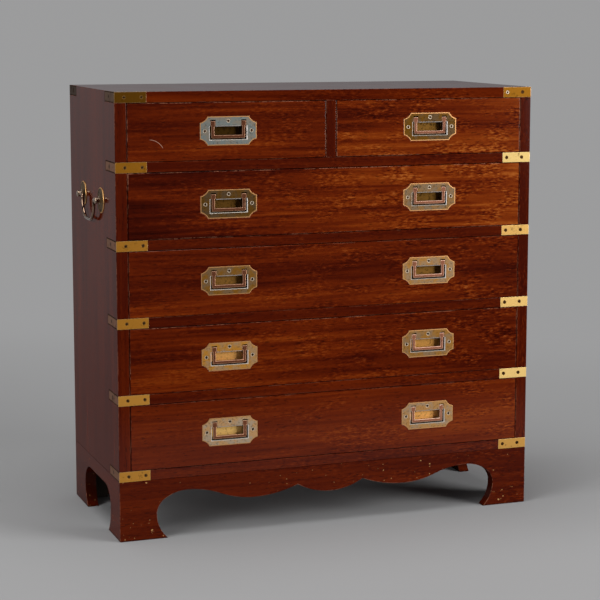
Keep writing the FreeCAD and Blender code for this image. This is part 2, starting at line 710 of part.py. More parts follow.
def make_drawer(kind, opening_width, opening_height, seats):
    """Front, box and bottom of one kind of drawer.

    Its origin is the middle of the front's lower edge. The sides have tails at both ends. The front
    and the back are cut with the sides, which leaves their pins, and all are grooved by the bottom.
    """
    width = f"({opening_width} - 2 * drawer_gap)"
    height = f"({opening_height} - drawer_gap - running_gap)"
    back_floor = "(panel_height + panel_thickness)"
    back_height = f"({height} - back_drop - {back_floor})"

    panel = block(f"{kind}_panel",
                  (f"{width} - 2 * lining_thickness + 2 * groove_depth",
                   f"{DRAWER_DEPTH} - front_thickness + groove_depth", "panel_thickness"),
                  (f"-({width} / 2 - lining_thickness + groove_depth)",
                   "front_thickness - groove_depth", "panel_height"))

    side_blank = new_body(f"{kind}_side_blank")
    pad(side_blank, "YZ", [rectangle("dovetail_lap", "0", DRAWER_DEPTH, height)], "lining_thickness")
    pins = new_sketch(side_blank, "YZ")
    for number in range(FRONT_TAILS + 1):
        draw(pins, pin_outline(f"{height} * {number} / {FRONT_TAILS}", "dovetail_lap", "front_thickness"))
    for share in REAR_PINS:
        draw(pins, pin_outline(f"{back_floor} + {back_height} * {share}", DRAWER_DEPTH,
                               f"({DRAWER_DEPTH} - lining_thickness)"))
    remove(side_blank, pins)
    place(side_blank, f"-{width} / 2")
    left = cut(f"{kind}_side", side_blank, [panel])
    right = mirrored(f"{kind}_side_right", left)

    back_blank = block(f"{kind}_back_blank", (width, "lining_thickness", back_height),
                       (f"-{width} / 2", f"{DRAWER_DEPTH} - lining_thickness", back_floor))
    back = cut(f"{kind}_back", back_blank, [left, right])

    front_blank = new_body(f"{kind}_front_blank")
    board = pad(front_blank, "XZ", [rectangle(f"-{width} / 2", "0", f"{width} / 2", height)],
                "front_thickness", backwards=True)
    document.recompute()
    faces = board.Shape.Faces
    show_face = min(range(len(faces)), key=lambda index: faces[index].CenterOfMass.y)
    arris = front_blank.newObject("PartDesign::Chamfer", f"{kind}_arris")
    arris.Base = (board, [f"Face{show_face + 1}"])
    bind(arris, "Size", "front_arris")
    front_blank.Tip = arris
    front = cut(f"{kind}_front", front_blank, [left, right, panel] + seats)
    return front, group(f"{kind}_box", [left, right, back]), panel


def make_drawers():
    """Two short and four long drawers, each with its pull plates and bails."""
    plate = make_pull_plate()
    bail = make_pull_bail()
    seat = make_pull_seat()
    kinds = {}
    for kind, width, height, offsets in (("short", SHORT_WIDTH, "short_opening", ["0"]),
                                         ("long", INNER_WIDTH, LONG_OPENING,
                                          [f"-{PULL_OFFSET}", PULL_OFFSET])):
        middle = f"({height} / 2 - running_gap)"
        seats = [place(copied(f"{kind}_seat", seat), offset, "0", middle) for offset in offsets]
        kinds[kind] = make_drawer(kind, width, height, seats)

    drawers = [("short_drawer_left", "short", f"-{PULL_OFFSET}", SHORT_FLOOR, "short_opening"),
               ("short_drawer_right", "short", PULL_OFFSET, SHORT_FLOOR, "short_opening")]
    for number in range(1, LONG_DRAWERS + 1):
        drawers.append((f"long_drawer_{number}", "long", "0", long_floor(number), LONG_OPENING))

    for name, kind, middle, floor, height in drawers:
        for part, source in zip(("front", "box", "bottom"), kinds[kind]):
            piece = copied(f"{name}_{part}", source)
            if part == "bottom":
                place(piece, f"{middle} - ({INNER_WIDTH if kind == 'long' else SHORT_WIDTH} / 2 "
                             f"- drawer_gap - lining_thickness + groove_depth)",
                      f"{FRONT} + front_thickness - groove_depth",
                      f"{floor} + running_gap + panel_height")
            else:
                place(piece, middle, FRONT, f"{floor} + running_gap")
            node(f"{name}_{part}", piece)
        hinge_level = f"{floor} + {height} / 2"
        spots = {"": middle} if kind == "short" else {"_left": f"-{PULL_OFFSET}", "_right": PULL_OFFSET}
        plates = [place(copied(f"{name}_plate{side}", plate), across, FRONT, hinge_level)
                  for side, across in spots.items()]
        if kind == "short":
            node(f"{name}_pull_plate", plates[0])
        else:
            node(f"{name}_pull_plates", group(f"{name}_pull_plates", plates))
        for side, across in spots.items():
            label = f"{name}_bail{side}"
            node(label, place(copied(label, bail), across, f"{FRONT} + bail_inset", hinge_level))


# ---------------------------------------------------------------- carrying handles

POST_RADIUS = "(post_diameter / 2)"
LEG_OFFSET = f"(post_spacing / 2 - {POST_RADIUS} - handle_arm - handle_bar / 2)"


def make_rose():
    """Rose and post turned in one piece, bored for the handle. Its origin is on the side."""
    body = new_body("rose")
    sketch = new_sketch(body, "XZ")
    rose = "(rose_diameter / 2)"
    draw(sketch, [("0", "0"), ("-post_length", "0"), ("-post_length", f"{POST_RADIUS} - post_chamfer"),
                  ("-(post_length - post_chamfer)", POST_RADIUS), ("-rose_crown", POST_RADIUS),
                  ("-rose_rim", rose), ("0", rose)])
    feature = body.newObject("PartDesign::Revolution", "rose_turning")
    feature.Profile = sketch
    feature.ReferenceAxis = (origin_feature(body, "X_Axis"), [""])
    feature.Angle = 360
    body.Tip = feature
    eye = new_sketch(body, "XZ")
    draw(eye, flatted("-eye_distance", "0", "handle_bar / 2 + eye_gap", outside=True))
    remove(body, eye)
    return body


def make_handle():
    """A round bar bent to a bail, with its ends turned outwards through the posts."""
    body = new_body("carry_handle_left")
    tip = f"(post_spacing / 2 + {POST_RADIUS} + pin_end)"
    leg = LEG_OFFSET
    low = "(handle_drop - handle_bar / 2)"
    path = new_sketch(body, "YZ")
    draw(path, [(tip, "0"), (f"({leg} + handle_shoulder)", "0"),
                (leg, "-handle_shoulder", "handle_shoulder"), (leg, f"-({low} - handle_corner)"),
                (f"({leg} - handle_corner)", f"-{low}", "-handle_corner"),
                (f"-({leg} - handle_corner)", f"-{low}"),
                (f"-{leg}", f"-({low} - handle_corner)", "-handle_corner"),
                (f"-{leg}", "-handle_shoulder"),
                (f"-({leg} + handle_shoulder)", "0", "handle_shoulder"), (f"-{tip}", "0")], closed=False)
    section = new_sketch(body, "XZ")
    bind(section, "AttachmentOffset.Base.z", f"-{tip}")
    draw(section, flatted("0", "0", "handle_bar / 2"))
    document.recompute()
    bar = body.newObject("PartDesign::AdditivePipe", "handle_bar")
    bar.Profile = section
    bar.Spine = path
    body.Tip = bar
    return body


def make_handles():
    """A bail handle on a pair of roses on each side of the chest."""
    rose = make_rose()
    roses = [place(copied(f"rose_{end}", rose), LEFT, f"{direction} * post_spacing / 2", "handle_height")
             for end, direction in (("front", -1), ("rear", 1))]
    left = group("roses_left", roses)
    node("handle_roses", group("handle_roses", [left, mirrored("roses_right", left)]))
    handle = place(make_handle(), f"{LEFT} - eye_distance", "0", "handle_height")
    node("carry_handle_left", handle)
    node("carry_handle_right", mirrored("carry_handle_right", handle))


# ---------------------------------------------------------------- build, check and write

make_case(make_straps())
make_base()
make_drawers()
make_handles()
document.recompute()

for item in document.Objects:
    if "Invalid" in item.State or "Error" in item.State:
        raise RuntimeError(f"{item.Label} failed: {item.State}")

os.makedirs("parts", exist_ok=True)
for label, item in nodes.items():
    shape = Part.getShape(item)
    if shape.isNull() or not shape.isValid() or not shape.Solids:
        raise RuntimeError(f"{label} has no valid solid")
    print(label, len(shape.Solids), "solids", round(shape.Volume / 1000, 1), "cm3")
    shape.exportStep(f"parts/{label}.step")
print(len(nodes), "sub-parts")
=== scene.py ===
# %% [markdown]
# # Dressing a campaign chest
#
# A campaign chest is travelling furniture: plain mahogany boards, and brass let in flush so that
# nothing catches on a rope or a wagon. The joinery, the pulls and the handles come ready made from
# the CAD model. This lesson gives every board its polish, lays on the brass, and adds the small
# things that CAD leaves out, such as screws, broken edges and wear.

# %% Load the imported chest
import json
import math
import random

import bpy
from mathutils import Matrix, Quaternion, Vector

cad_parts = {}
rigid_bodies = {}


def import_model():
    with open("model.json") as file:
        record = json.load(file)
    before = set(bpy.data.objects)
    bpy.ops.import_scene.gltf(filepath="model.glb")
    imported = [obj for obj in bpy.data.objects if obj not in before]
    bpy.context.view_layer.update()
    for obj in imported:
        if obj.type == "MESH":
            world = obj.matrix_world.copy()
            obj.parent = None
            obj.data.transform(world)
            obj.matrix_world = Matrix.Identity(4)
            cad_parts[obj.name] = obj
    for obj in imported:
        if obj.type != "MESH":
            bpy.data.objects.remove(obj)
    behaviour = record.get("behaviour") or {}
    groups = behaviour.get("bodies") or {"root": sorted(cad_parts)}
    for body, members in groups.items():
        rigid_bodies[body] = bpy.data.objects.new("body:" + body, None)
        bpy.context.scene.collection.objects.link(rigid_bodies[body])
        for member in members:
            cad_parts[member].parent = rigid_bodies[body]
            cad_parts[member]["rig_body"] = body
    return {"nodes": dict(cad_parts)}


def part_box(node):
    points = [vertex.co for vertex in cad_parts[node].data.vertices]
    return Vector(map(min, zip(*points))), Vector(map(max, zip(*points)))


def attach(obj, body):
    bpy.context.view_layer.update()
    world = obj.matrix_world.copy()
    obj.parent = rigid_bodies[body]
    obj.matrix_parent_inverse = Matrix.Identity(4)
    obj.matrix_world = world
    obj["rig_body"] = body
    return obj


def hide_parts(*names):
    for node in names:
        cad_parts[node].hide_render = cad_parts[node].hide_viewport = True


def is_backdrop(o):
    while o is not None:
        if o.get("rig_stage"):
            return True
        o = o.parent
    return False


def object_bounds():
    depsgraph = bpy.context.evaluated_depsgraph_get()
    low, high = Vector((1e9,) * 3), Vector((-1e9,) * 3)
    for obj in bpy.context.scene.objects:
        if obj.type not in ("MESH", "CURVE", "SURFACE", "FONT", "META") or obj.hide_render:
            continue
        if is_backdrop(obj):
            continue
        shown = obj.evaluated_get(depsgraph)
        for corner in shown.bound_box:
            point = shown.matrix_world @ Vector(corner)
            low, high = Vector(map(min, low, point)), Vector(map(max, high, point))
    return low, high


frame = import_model()
nodes = frame["nodes"]
cad_low, cad_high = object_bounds()
scene = bpy.context.scene
scene.view_settings.view_transform = "Standard"
MM = 0.001
print("the chest measures", [round(side / MM) for side in cad_high - cad_low], "mm,", len(nodes), "parts")

# %% [markdown]
# ## The camera
#
# The chest is seen from its left and from a little above the top board. A long lens keeps the
# uprights upright, and a small shift moves the frame down and to the left without tilting it.

# %% Set up the camera
CAMERA_PLACE = Vector((-1.0959, -3.0911, 0.8854))
CAMERA_AIM = Vector((0.0092, -0.1680, 0.4594))
CAMERA_ROLL = 0.14
SENSOR_WIDTH = 36
FOCAL_LENGTH = 108.85
FRAME_SHIFT = -0.060

lens = bpy.data.cameras.new("camera")
lens.sensor_fit = "HORIZONTAL"
lens.sensor_width = SENSOR_WIDTH
lens.lens = FOCAL_LENGTH
lens.shift_x = FRAME_SHIFT
lens.shift_y = FRAME_SHIFT
camera = bpy.data.objects.new("camera", lens)
scene.collection.objects.link(camera)
camera.location = CAMERA_PLACE
sight = CAMERA_AIM - CAMERA_PLACE
turn = sight.to_track_quat("-Z", "Y") @ Quaternion((0, 0, 1), math.radians(CAMERA_ROLL))
camera.rotation_euler = turn.to_euler()
scene.camera = camera
print("the camera stands", round(sight.length, 2), "m from the front")

# %% [markdown]
# ## Working in edit mode
#
# Operators act on whatever is selected, so each step first selects nothing, then the one piece it
# works on, and then the faces or edges it means, which are found by where they lie.

# %% Small hands for edit mode
SAME_SPOT = 0.01 * MM


def select_none():
    if bpy.context.object and bpy.context.object.mode == "EDIT":
        bpy.ops.object.mode_set(mode="OBJECT")
    bpy.ops.object.select_all(action="DESELECT")


def take(piece):
    """Select one piece and nothing else."""
    select_none()
    piece.select_set(True)
    bpy.context.view_layer.objects.active = piece


def pick(piece, kind, wanted):
    """Go into edit mode with the vertices, edges or faces whose middle passes a test."""
    take(piece)
    bpy.ops.object.mode_set(mode="EDIT")
    bpy.ops.mesh.select_mode(type="VERT")
    bpy.ops.mesh.select_all(action="DESELECT")
    bpy.ops.object.mode_set(mode="OBJECT")
    mesh = piece.data
    spots = [vertex.co for vertex in mesh.vertices]
    if kind == "FACE":
        chosen = [face for face in mesh.polygons if wanted(face.center)]
    elif kind == "EDGE":
        chosen = [edge for edge in mesh.edges
                  if wanted((spots[edge.vertices[0]] + spots[edge.vertices[1]]) / 2)]
    else:
        chosen = [vertex for vertex in mesh.vertices if wanted(vertex.co)]
    for item in chosen:
        item.select = True
    bpy.ops.object.mode_set(mode="EDIT")
    bpy.ops.mesh.select_mode(type=kind)


def draw_out(x, y, z):
    """Extrude what is selected."""
    bpy.ops.mesh.extrude_region_move(TRANSFORM_OT_translate={"value": (x, y, z)})


def bend(turn, steps, x, y, z):
    """Spin a right angle round a point. A turn of 1 is against the clock, seen from the right."""
    bpy.ops.mesh.spin(steps=steps, angle=turn * math.pi / 2, center=(x, y, z), axis=(-1, 0, 0))


def inset(piece, wanted, width):
    """Outline the faces whose middle passes a test. What lies inside the outline stays selected."""
    pick(piece, "FACE", wanted)
    bpy.ops.mesh.inset(thickness=width, depth=0)
    bpy.ops.object.mode_set(mode="OBJECT")


def merge_all():
    """Select the whole of the piece in edit mode, and merge what lies on one spot."""
    bpy.ops.mesh.select_all(action="SELECT")
    bpy.ops.mesh.remove_doubles(threshold=SAME_SPOT)


def turn_outwards():
    """Turn every face of the piece in edit mode outwards, and leave edit mode."""
    bpy.ops.mesh.select_all(action="SELECT")
    bpy.ops.mesh.normals_make_consistent(inside=False)
    bpy.ops.object.mode_set(mode="OBJECT")


def settle(piece):
    """Put a piece's place into its mesh, as a CAD node has it."""
    select_none()
    bpy.context.view_layer.update()
    piece.data.transform(piece.matrix_world)
    piece.matrix_world = Matrix.Identity(4)
    return piece


def give(piece, *finishes):
    """Add finishes to a piece. Its faces name them by number, from 0."""
    for finish in finishes:
        piece.data.materials.append(finish.material)


# %% [markdown]
# ## Taking a part over
#
# The frame's own parts must stay as they came. To break an edge or add a detail, a copy is made:
# its loose triangles are merged, flat stretches are joined into single faces, and the copy stands
# in for the part on the same body. A bevel then rounds every sharp edge by a fraction of a
# millimetre, as sandpaper does, and can give the narrow new faces a finish of their own.

# %% Copy a part and let the copy stand in
FLAT_ANGLE = math.radians(0.5)


def take_over(node, name, *finishes):
    """A merged copy of a CAD part, ready for edit mode, with these finishes."""
    select_none()
    piece = nodes[node].copy()
    piece.data = nodes[node].data.copy()
    piece.name = name
    piece.parent = None
    for mark in [key for key in piece.keys() if key.startswith("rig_")]:
        del piece[mark]
    scene.collection.objects.link(piece)
    piece.data.materials.clear()
    give(piece, *finishes)
    take(piece)
    bpy.ops.mesh.customdata_custom_splitnormals_clear()
    bpy.ops.object.mode_set(mode="EDIT")
    merge_all()
    bpy.ops.mesh.dissolve_limited(angle_limit=FLAT_ANGLE)
    bpy.ops.object.mode_set(mode="OBJECT")
    return piece


def stand_in(piece, node):
    """Let a piece stand for a CAD part and move with its body."""
    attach(piece, nodes[node]["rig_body"])
    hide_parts(node)


# %% Break its edges
SHARP_ANGLE = math.radians(30)
BEVEL_STEPS = 2


def apply_all(piece):
    take(piece)
    for modifier in list(piece.modifiers):
        bpy.ops.object.modifier_apply(modifier=modifier.name)


def smooth(piece):
    """Smooth what is round, and let wide flat faces keep their own normals."""
    take(piece)
    bpy.ops.object.shade_smooth_by_angle(angle=SHARP_ANGLE)
    weighted = piece.modifiers.new("weighted", "WEIGHTED_NORMAL")
    weighted.keep_sharp = True
    apply_all(piece)


def break_edges(piece, width, finish_number=-1, steps=BEVEL_STEPS):
    """Round every sharp edge, and clear away faces too thin to see.

    The new faces take the finish with this number, or without one the finish next to them.
    """
    bevel = piece.modifiers.new("broken_edges", "BEVEL")
    bevel.width = width
    bevel.segments = steps
    bevel.limit_method = "ANGLE"
    bevel.angle_limit = SHARP_ANGLE
    bevel.material = finish_number
    apply_all(piece)
    bpy.ops.object.mode_set(mode="EDIT")
    merge_all()
    bpy.ops.mesh.dissolve_degenerate(threshold=SAME_SPOT)
    bpy.ops.object.mode_set(mode="OBJECT")
    smooth(piece)
    return piece


# %% [markdown]
# ## Floor and backdrop
#
# A studio sweep is one sheet of paper: flat under the chest, then curved up behind it, so that no
# line shows where the floor ends. A plane is the floor, its back edge is spun through a quarter
# turn, and the last edge is drawn up for the wall.

# %% Sweep the paper up behind the chest
SWEEP_WIDTH = 16.0
SWEEP_FRONT = -2.3
SWEEP_BEND = 1.9
SWEEP_RADIUS = 1.6
SWEEP_STEPS = 24
SWEEP_WALL = 4.0

select_none()
bpy.ops.mesh.primitive_plane_add(size=1, location=(0, (SWEEP_BEND + SWEEP_FRONT) / 2, 0))
sweep = bpy.context.object
sweep.name = "studio_sweep"
bpy.ops.transform.resize(value=(SWEEP_WIDTH, SWEEP_BEND - SWEEP_FRONT, 1))
settle(sweep)
pick(sweep, "EDGE", lambda spot: spot.y > SWEEP_BEND - MM)
bend(1, SWEEP_STEPS, 0, SWEEP_BEND, SWEEP_RADIUS)
draw_out(0, 0, SWEEP_WALL)
turn_outwards()
bpy.ops.object.shade_smooth()
sweep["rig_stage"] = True
print("the sweep ends", round(max(vertex.co.y for vertex in sweep.data.vertices), 2), "m behind the middle")

# %% [markdown]
# ## Light
#
# One large soft lamp stands to the right of the camera, so that the right of the chest and its
# brass catch it and the left falls off. A weaker one hangs overhead for the top board and the
# floor, and the weakest fills in from the left. Together with an even dim world they add up to a
# plain level, at which a colour shows about as it is written. Seen past the edge of the paper, the
# world has the paper's own tone.

# %% Hang the lamps
# A lamp's name, its place and size in metres, and its watts
LAMPS = (("key_lamp", (2.8, -2.6, 1.35), 2.0, 148),
         ("overhead_lamp", (-0.5, -0.2, 3.6), 2.4, 87),
         ("fill_lamp", (-3.2, -1.4, 1.6), 1.8, 58))
LAMP_AIM = Vector((0, 0, 0.4))

for name, spot, size, watts in LAMPS:
    data = bpy.data.lights.new(name, "AREA")
    data.shape = "SQUARE"
    data.size = size
    data.energy = watts
    lamp = bpy.data.objects.new(name, data)
    scene.collection.objects.link(lamp)
    lamp.location = spot
    lamp.rotation_euler = (LAMP_AIM - Vector(spot)).to_track_quat("-Z", "Y").to_euler()
print(len(LAMPS), "lamps")

# %% Dim the world
WORLD_LIGHT = (0.051, 0.051, 0.052, 1)
WALL_TONE = (0.33, 0.33, 0.333, 1)

world = bpy.data.worlds.new("studio")
world.use_nodes = True
tree = world.node_tree
dim = tree.nodes["Background"]
dim.inputs["Color"].default_value = WORLD_LIGHT
pale = tree.nodes.new("ShaderNodeBackground")
pale.inputs["Color"].default_value = WALL_TONE
for_camera = tree.nodes.new("ShaderNodeMixShader")
tree.links.new(tree.nodes.new("ShaderNodeLightPath").outputs["Is Camera Ray"], for_camera.inputs[0])
tree.links.new(dim.outputs[0], for_camera.inputs[1])
tree.links.new(pale.outputs[0], for_camera.inputs[2])
tree.links.new(for_camera.outputs[0], tree.nodes["World Output"].inputs["Surface"])
scene.world = world
print("the world gives a light of", WORLD_LIGHT[0])

# %% [markdown]
# ## Shader sums
#
# A procedural finish is mostly arithmetic on positions. So that it can be written as arithmetic, a
# small class wraps a socket: adding, multiplying or subtracting such values lays down Math nodes.
# Every other node comes from one method, which takes its type, its settings and its inputs.

# %% A value that does sums
class Value:
    """One output of a node, on which sums can be done."""

    def __init__(self, finish, socket):
        self.finish = finish
        self.socket = socket

    def sum(self, operation, *terms):
        """One Math node with these terms."""
        numbers = {str(place): term for place, term in enumerate(terms)}
        return self.finish.node("ShaderNodeMath", {"operation": operation}, numbers)

    def __add__(self, other):
        return self.sum("ADD", self, other)

    def __sub__(self, other):
        return self.sum("SUBTRACT", self, other)

    def __rsub__(self, other):
        return self.sum("SUBTRACT", other, self)

    def __mul__(self, other):
        return self.sum("MULTIPLY", self, other)

    __radd__ = __add__
    __rmul__ = __mul__

    def __abs__(self):
        return self.sum("ABSOLUTE", self)

    def root(self):
        return self.sum("SQRT", self)

    def least(self, other):
        return self.sum("MINIMUM", self, other)

    def swing(self, share):
        """How far noise strays from its middle, 0.5, times a share."""
        return (self - 0.5) * share

    def rise(self, begin, end):
        """0 up to begin, 1 from end, and smooth between. It falls where end is below begin."""
        settings = {"interpolation_type": "SMOOTHSTEP"}
        if begin < end:
            return self.finish.node("ShaderNodeMapRange", settings,
                                    {"Value": self, "From Min": begin, "From Max": end})
        return 1 - self.rise(end, begin)


# %% A finish that makes nodes
def even(size):
    """The same size along X, Y and Z."""
    return (size, size, size)


class Finish:
    """A material under construction."""

    def __init__(self, name, **constants):
        self.material = bpy.data.materials.new(name)
        self.material.use_nodes = True
        self.tree = self.material.node_tree
        self.shader = self.tree.nodes["Principled BSDF"]
        for label, value in constants.items():
            self.shader.inputs[label.replace("_", " ")].default_value = value
        self.place = self.node("ShaderNodeTexCoord", {}, {}, "Object")
        self.facing = self.node("ShaderNodeTexCoord", {}, {}, "Normal")

    def node(self, kind, settings, inputs, output=0):
        """Add a node. Its inputs are found by their identifier, their name or their number."""
        made = self.tree.nodes.new(kind)
        for name, value in settings.items():
            if name == "stops":
                for number, (spot, colour) in enumerate(value):
                    stop = made.color_ramp.elements[number] if number < 2 \
                        else made.color_ramp.elements.new(spot)
                    stop.position = spot
                    stop.color = (*colour, 1)
            else:
                setattr(made, name, value)
        for name, value in inputs.items():
            if name.isdigit():
                socket = made.inputs[int(name)]
            else:
                socket = next(one for one in made.inputs if name in (one.identifier, one.name))
            if isinstance(value, Value):
                self.tree.links.new(value.socket, socket)
            else:
                socket.default_value = value
        return Value(self, made.outputs[output])

    def feed(self, label, value):
        self.tree.links.new(value.socket, self.shader.inputs[label])

    def split(self, vector):
        return [self.node("ShaderNodeSeparateXYZ", {}, {"Vector": vector}, axis) for axis in range(3)]

    def noise(self, sizes, detail=2.0, rough=0.5, offset=0.0, place=None):
        """Noise whose marks have these sizes in metres along X, Y and Z. It lies about 0.5."""
        scaled = self.node("ShaderNodeMapping", {},
                           {"Vector": place or self.place, "Scale": [1 / size for size in sizes],
                            "Location": (offset, 1.7 * offset, 2.3 * offset)})
        return self.node("ShaderNodeTexNoise", {},
                         {"Vector": scaled, "Scale": 1.0, "Detail": detail, "Roughness": rough})

    def ramp(self, value, *stops):
        return self.node("ShaderNodeValToRGB", {"stops": stops}, {"Fac": value})

    def blend(self, share, first, second):
        """Mix two colours, each of them a colour or a value."""
        inputs = {"Factor_Float": share}
        for name, colour in (("A_Color", first), ("B_Color", second)):
            inputs[name] = colour if isinstance(colour, Value) else (*colour, 1)
        return self.node("ShaderNodeMix", {"data_type": "RGBA"}, inputs, 2)

    def bump(self, height, depth):
        self.feed("Normal", self.node("ShaderNodeBump", {}, {"Height": height, "Distance": depth,
                                                             "Strength": 1.0}))


# %% [markdown]
# ## Paper
#
# Near the chest the paper is plain grey and takes its shadow. Further back it glows faintly, for
# the camera and for reflections only, so that the wall has one even tone and the polished boards
# mirror that tone, while the light on the chest stays what the lamps give. The room in front of
# the chest is dark, as a studio is, so what the polish mirrors of the floor there is dark too.

# %% Grey paper
PAPER = (0.326, 0.326, 0.329)
PAPER_SHADE = [0.97 * part for part in PAPER]
PAPER_CLOUD = 1.4
GLOW_BEGINS = 0.1
GLOW_FULL = 2.1
GLOW_LEAN = 0.6
DARK_TONE = (0.02, 0.02, 0.02, 1)
DARK_BEGINS = -0.7
DARK_FULL = -1.3

paper = Finish("grey_paper", Roughness=0.9, Specular_IOR_Level=0.1)
paper.feed("Base Color", paper.blend(paper.noise(even(PAPER_CLOUD)), PAPER, PAPER_SHADE))
seen = paper.node("ShaderNodeLightPath", {}, {}, "Is Camera Ray")
mirrored = paper.node("ShaderNodeLightPath", {}, {}, "Is Glossy Ray")
sideways, behind, _ = paper.split(paper.place)
glow = paper.node("ShaderNodeEmission", {}, {"Color": WALL_TONE})
gloom = paper.node("ShaderNodeEmission", {}, {"Color": DARK_TONE})
lit = Value(paper, paper.shader.outputs["BSDF"])
in_wall = (behind + sideways * GLOW_LEAN).rise(GLOW_BEGINS, GLOW_FULL) * (seen + mirrored)
in_room = behind.rise(DARK_BEGINS, DARK_FULL) * mirrored
mixed = paper.node("ShaderNodeMixShader", {}, {"0": in_wall, "1": lit, "2": glow})
mixed = paper.node("ShaderNodeMixShader", {}, {"0": in_room, "1": mixed, "2": gloom})
paper.tree.links.new(mixed.socket, paper.tree.nodes["Material Output"].inputs["Surface"])
give(sweep, paper)
print("the paper glows from", GLOW_BEGINS, "m behind the chest, and is dark from", -DARK_BEGINS, "m in front")

# %% [markdown]
# ## Mahogany
#
# Old Honduras mahogany under French polish is a deep red brown with fire in it. Three sizes of mark
# make it: bands about a centimetre wide where the grain leans one way or the other, short bright
# flecks, and short dark pores. All are noise that is drawn out along the board, and a slow noise
# bends them a little so that no streak is ruled. Each board has an offset of its own, so that the
# figure stops at a joint as it does where two boards meet.
#
# Each board is taken over and its edges broken. The narrow faces that this makes have the same
# wood. In places they are rubbed pale, where hands and cloths wear the polish through, and those
# that look down are painted dark as painted shade. Near the floor, knocks have chipped wood and edges alike.

# %% Marks drawn out along the grain
BENDS_PER_METRE = 2.6
BEND_REACH = 0.010


def along_axis(axis, length, width):
    """Sizes of a mark that is drawn out along one axis."""
    return [length if name == axis else width for name in "xyz"]


def bend_place(finish, offset):
    """The place on a board, pushed about by a slow noise."""
    slow = finish.node("ShaderNodeMapping", {}, {"Vector": finish.place, "Scale": even(BENDS_PER_METRE),
                                                 "Location": even(offset)})
    push = finish.node("ShaderNodeTexNoise", {}, {"Vector": slow, "Scale": 1.0, "Detail": 1.0}, "Color")
    return finish.node("ShaderNodeVectorMath", {"operation": "MULTIPLY_ADD"},
                       {"0": push, "1": even(BEND_REACH), "2": finish.place})


# %% The grain of mahogany
MAHOGANY = ((0.0, (0.020, 0.0016, 0.0006)), (0.30, (0.055, 0.0048, 0.0009)),
            (0.52, (0.115, 0.0130, 0.0014)), (0.74, (0.200, 0.0330, 0.0030)),
            (1.0, (0.360, 0.0950, 0.0130)))
PORE = (0.010, 0.0012, 0.0008)
DUST = (0.22, 0.055, 0.016)
MIDDLE_TONE = 0.46

# A mark's length and width in metres, its detail, its roughness and its own offset
BROAD = (0.42, 0.045, 2.0, 0.5, 5)
BANDS = (0.26, 0.0065, 3.0, 0.6, 0)
FLECKS = (0.0095, 0.0025, 2.0, 0.6, 0)
PORES = (0.012, 0.0024, 1.0, 0.5, 8)
PATCH_SIZES = (0.060, 0.035, 0.028)

# How much a mark lightens or darkens the wood
BROAD_SHARE = 0.75
BAND_SHARE = 0.68
FLECK_SHARE = 1.45
LEAST_FLECK = 0.12
DUST_SHARE = 0.42
PORE_SHARE = 0.5

# Where a noise begins to count, and where it counts in full
LIVELY_PATCHES = (0.38, 0.64)
PEAKS = (0.60, 0.74)

# How strong flecks are in the middle of the chest, and how much stronger a metre to the right
LIVELY_MIDDLE = 0.65
LIVELIER = 1.3


def grain(finish, axis, offset, tone, figure, fire_and_painted_light):
    """The colour of unworn wood, and the noise of its flecks, its pores and its patches."""
    x = finish.split(finish.place)[0]
    bent = bend_place(finish, offset)
    broad, bands, flecks, pores = (
        finish.noise(along_axis(axis, length, width), detail, rough, offset + shift, bent)
        for length, width, detail, rough, shift in (BROAD, BANDS, FLECKS, PORES))
    patches = finish.noise(PATCH_SIZES, offset=offset + 3, place=bent)
    lively = patches.rise(*LIVELY_PATCHES) * (x * LIVELIER + LIVELY_MIDDLE)
    # Growing brighter to the right by x is partly the board's own tone and partly painted light from the
    # right
    depth = (MIDDLE_TONE + tone + broad.swing(BROAD_SHARE * figure) + bands.swing(BAND_SHARE * figure)
             + flecks.swing(lively * FLECK_SHARE + LEAST_FLECK) * figure + x * fire_and_painted_light)
    colour = finish.ramp(depth, *MAHOGANY)
    colour = finish.blend(flecks.rise(*PEAKS) * lively * (DUST_SHARE * figure), colour, DUST)
    colour = finish.blend(pores.rise(*PEAKS) * PORE_SHARE, colour, PORE)
    return colour, flecks, pores, patches


# %% Wear on mahogany
RUBBED = (0.34, 0.13, 0.075)
SCRATCHED = (0.60, 0.36, 0.26)
CHIPPED = (0.60, 0.32, 0.12)
END_GRAIN = (0.030, 0.0040, 0.0014)

RUB_SIZE = 0.045
NICK_SIZE = 0.005
CHIP_SIZE = 0.005
RUBBED_PATCHES = (0.42, 0.60)
NICKS = (0.36, 0.56)
CHIPS = (0.75, 0.80)
MORE_CHIPS = 0.06
CHIP_HEIGHTS = (60 * MM, 0)
FLOOR_SHADOW_BAND = (3.5 * MM, 0.5 * MM)
SCRATCH_LINE = (0.5 * MM, 0.15 * MM)
SCRATCH_ENDS = ((0, 4 * MM), (12 * MM, 15 * MM))
SCRATCH_SHARE = 0.7


def rub(finish, offset, wear):
    """How far an edge is rubbed: in patches, with nicks in them."""
    patchy = finish.noise(even(RUB_SIZE), 3.0, 0.65, offset + 7)
    nicks = finish.noise(even(NICK_SIZE), 2.0, 0.6, offset + 9)
    return (patchy.rise(*RUBBED_PATCHES) * nicks.rise(*NICKS) * wear).least(1)


def knock(finish, offset, z, chips):
    """Where the wood is chipped, more so close to the floor."""
    knocks = finish.noise(even(CHIP_SIZE), 1.0, 0.5, offset + 12)
    return ((knocks + z.rise(*CHIP_HEIGHTS) * MORE_CHIPS).rise(*CHIPS) * chips).least(1)


def scratch(finish, across, up, radius):
    """A quarter of a circle, scratched with a point in the XZ plane."""
    x, _, z = finish.split(finish.place)
    from_middle = ((x - across) * (x - across) + (z - up) * (z - up)).root()
    quarter = (x - across).rise(*SCRATCH_ENDS[0]) * (z - up).rise(*SCRATCH_ENDS[1])
    return abs(from_middle - radius).rise(*SCRATCH_LINE) * quarter * SCRATCH_SHARE
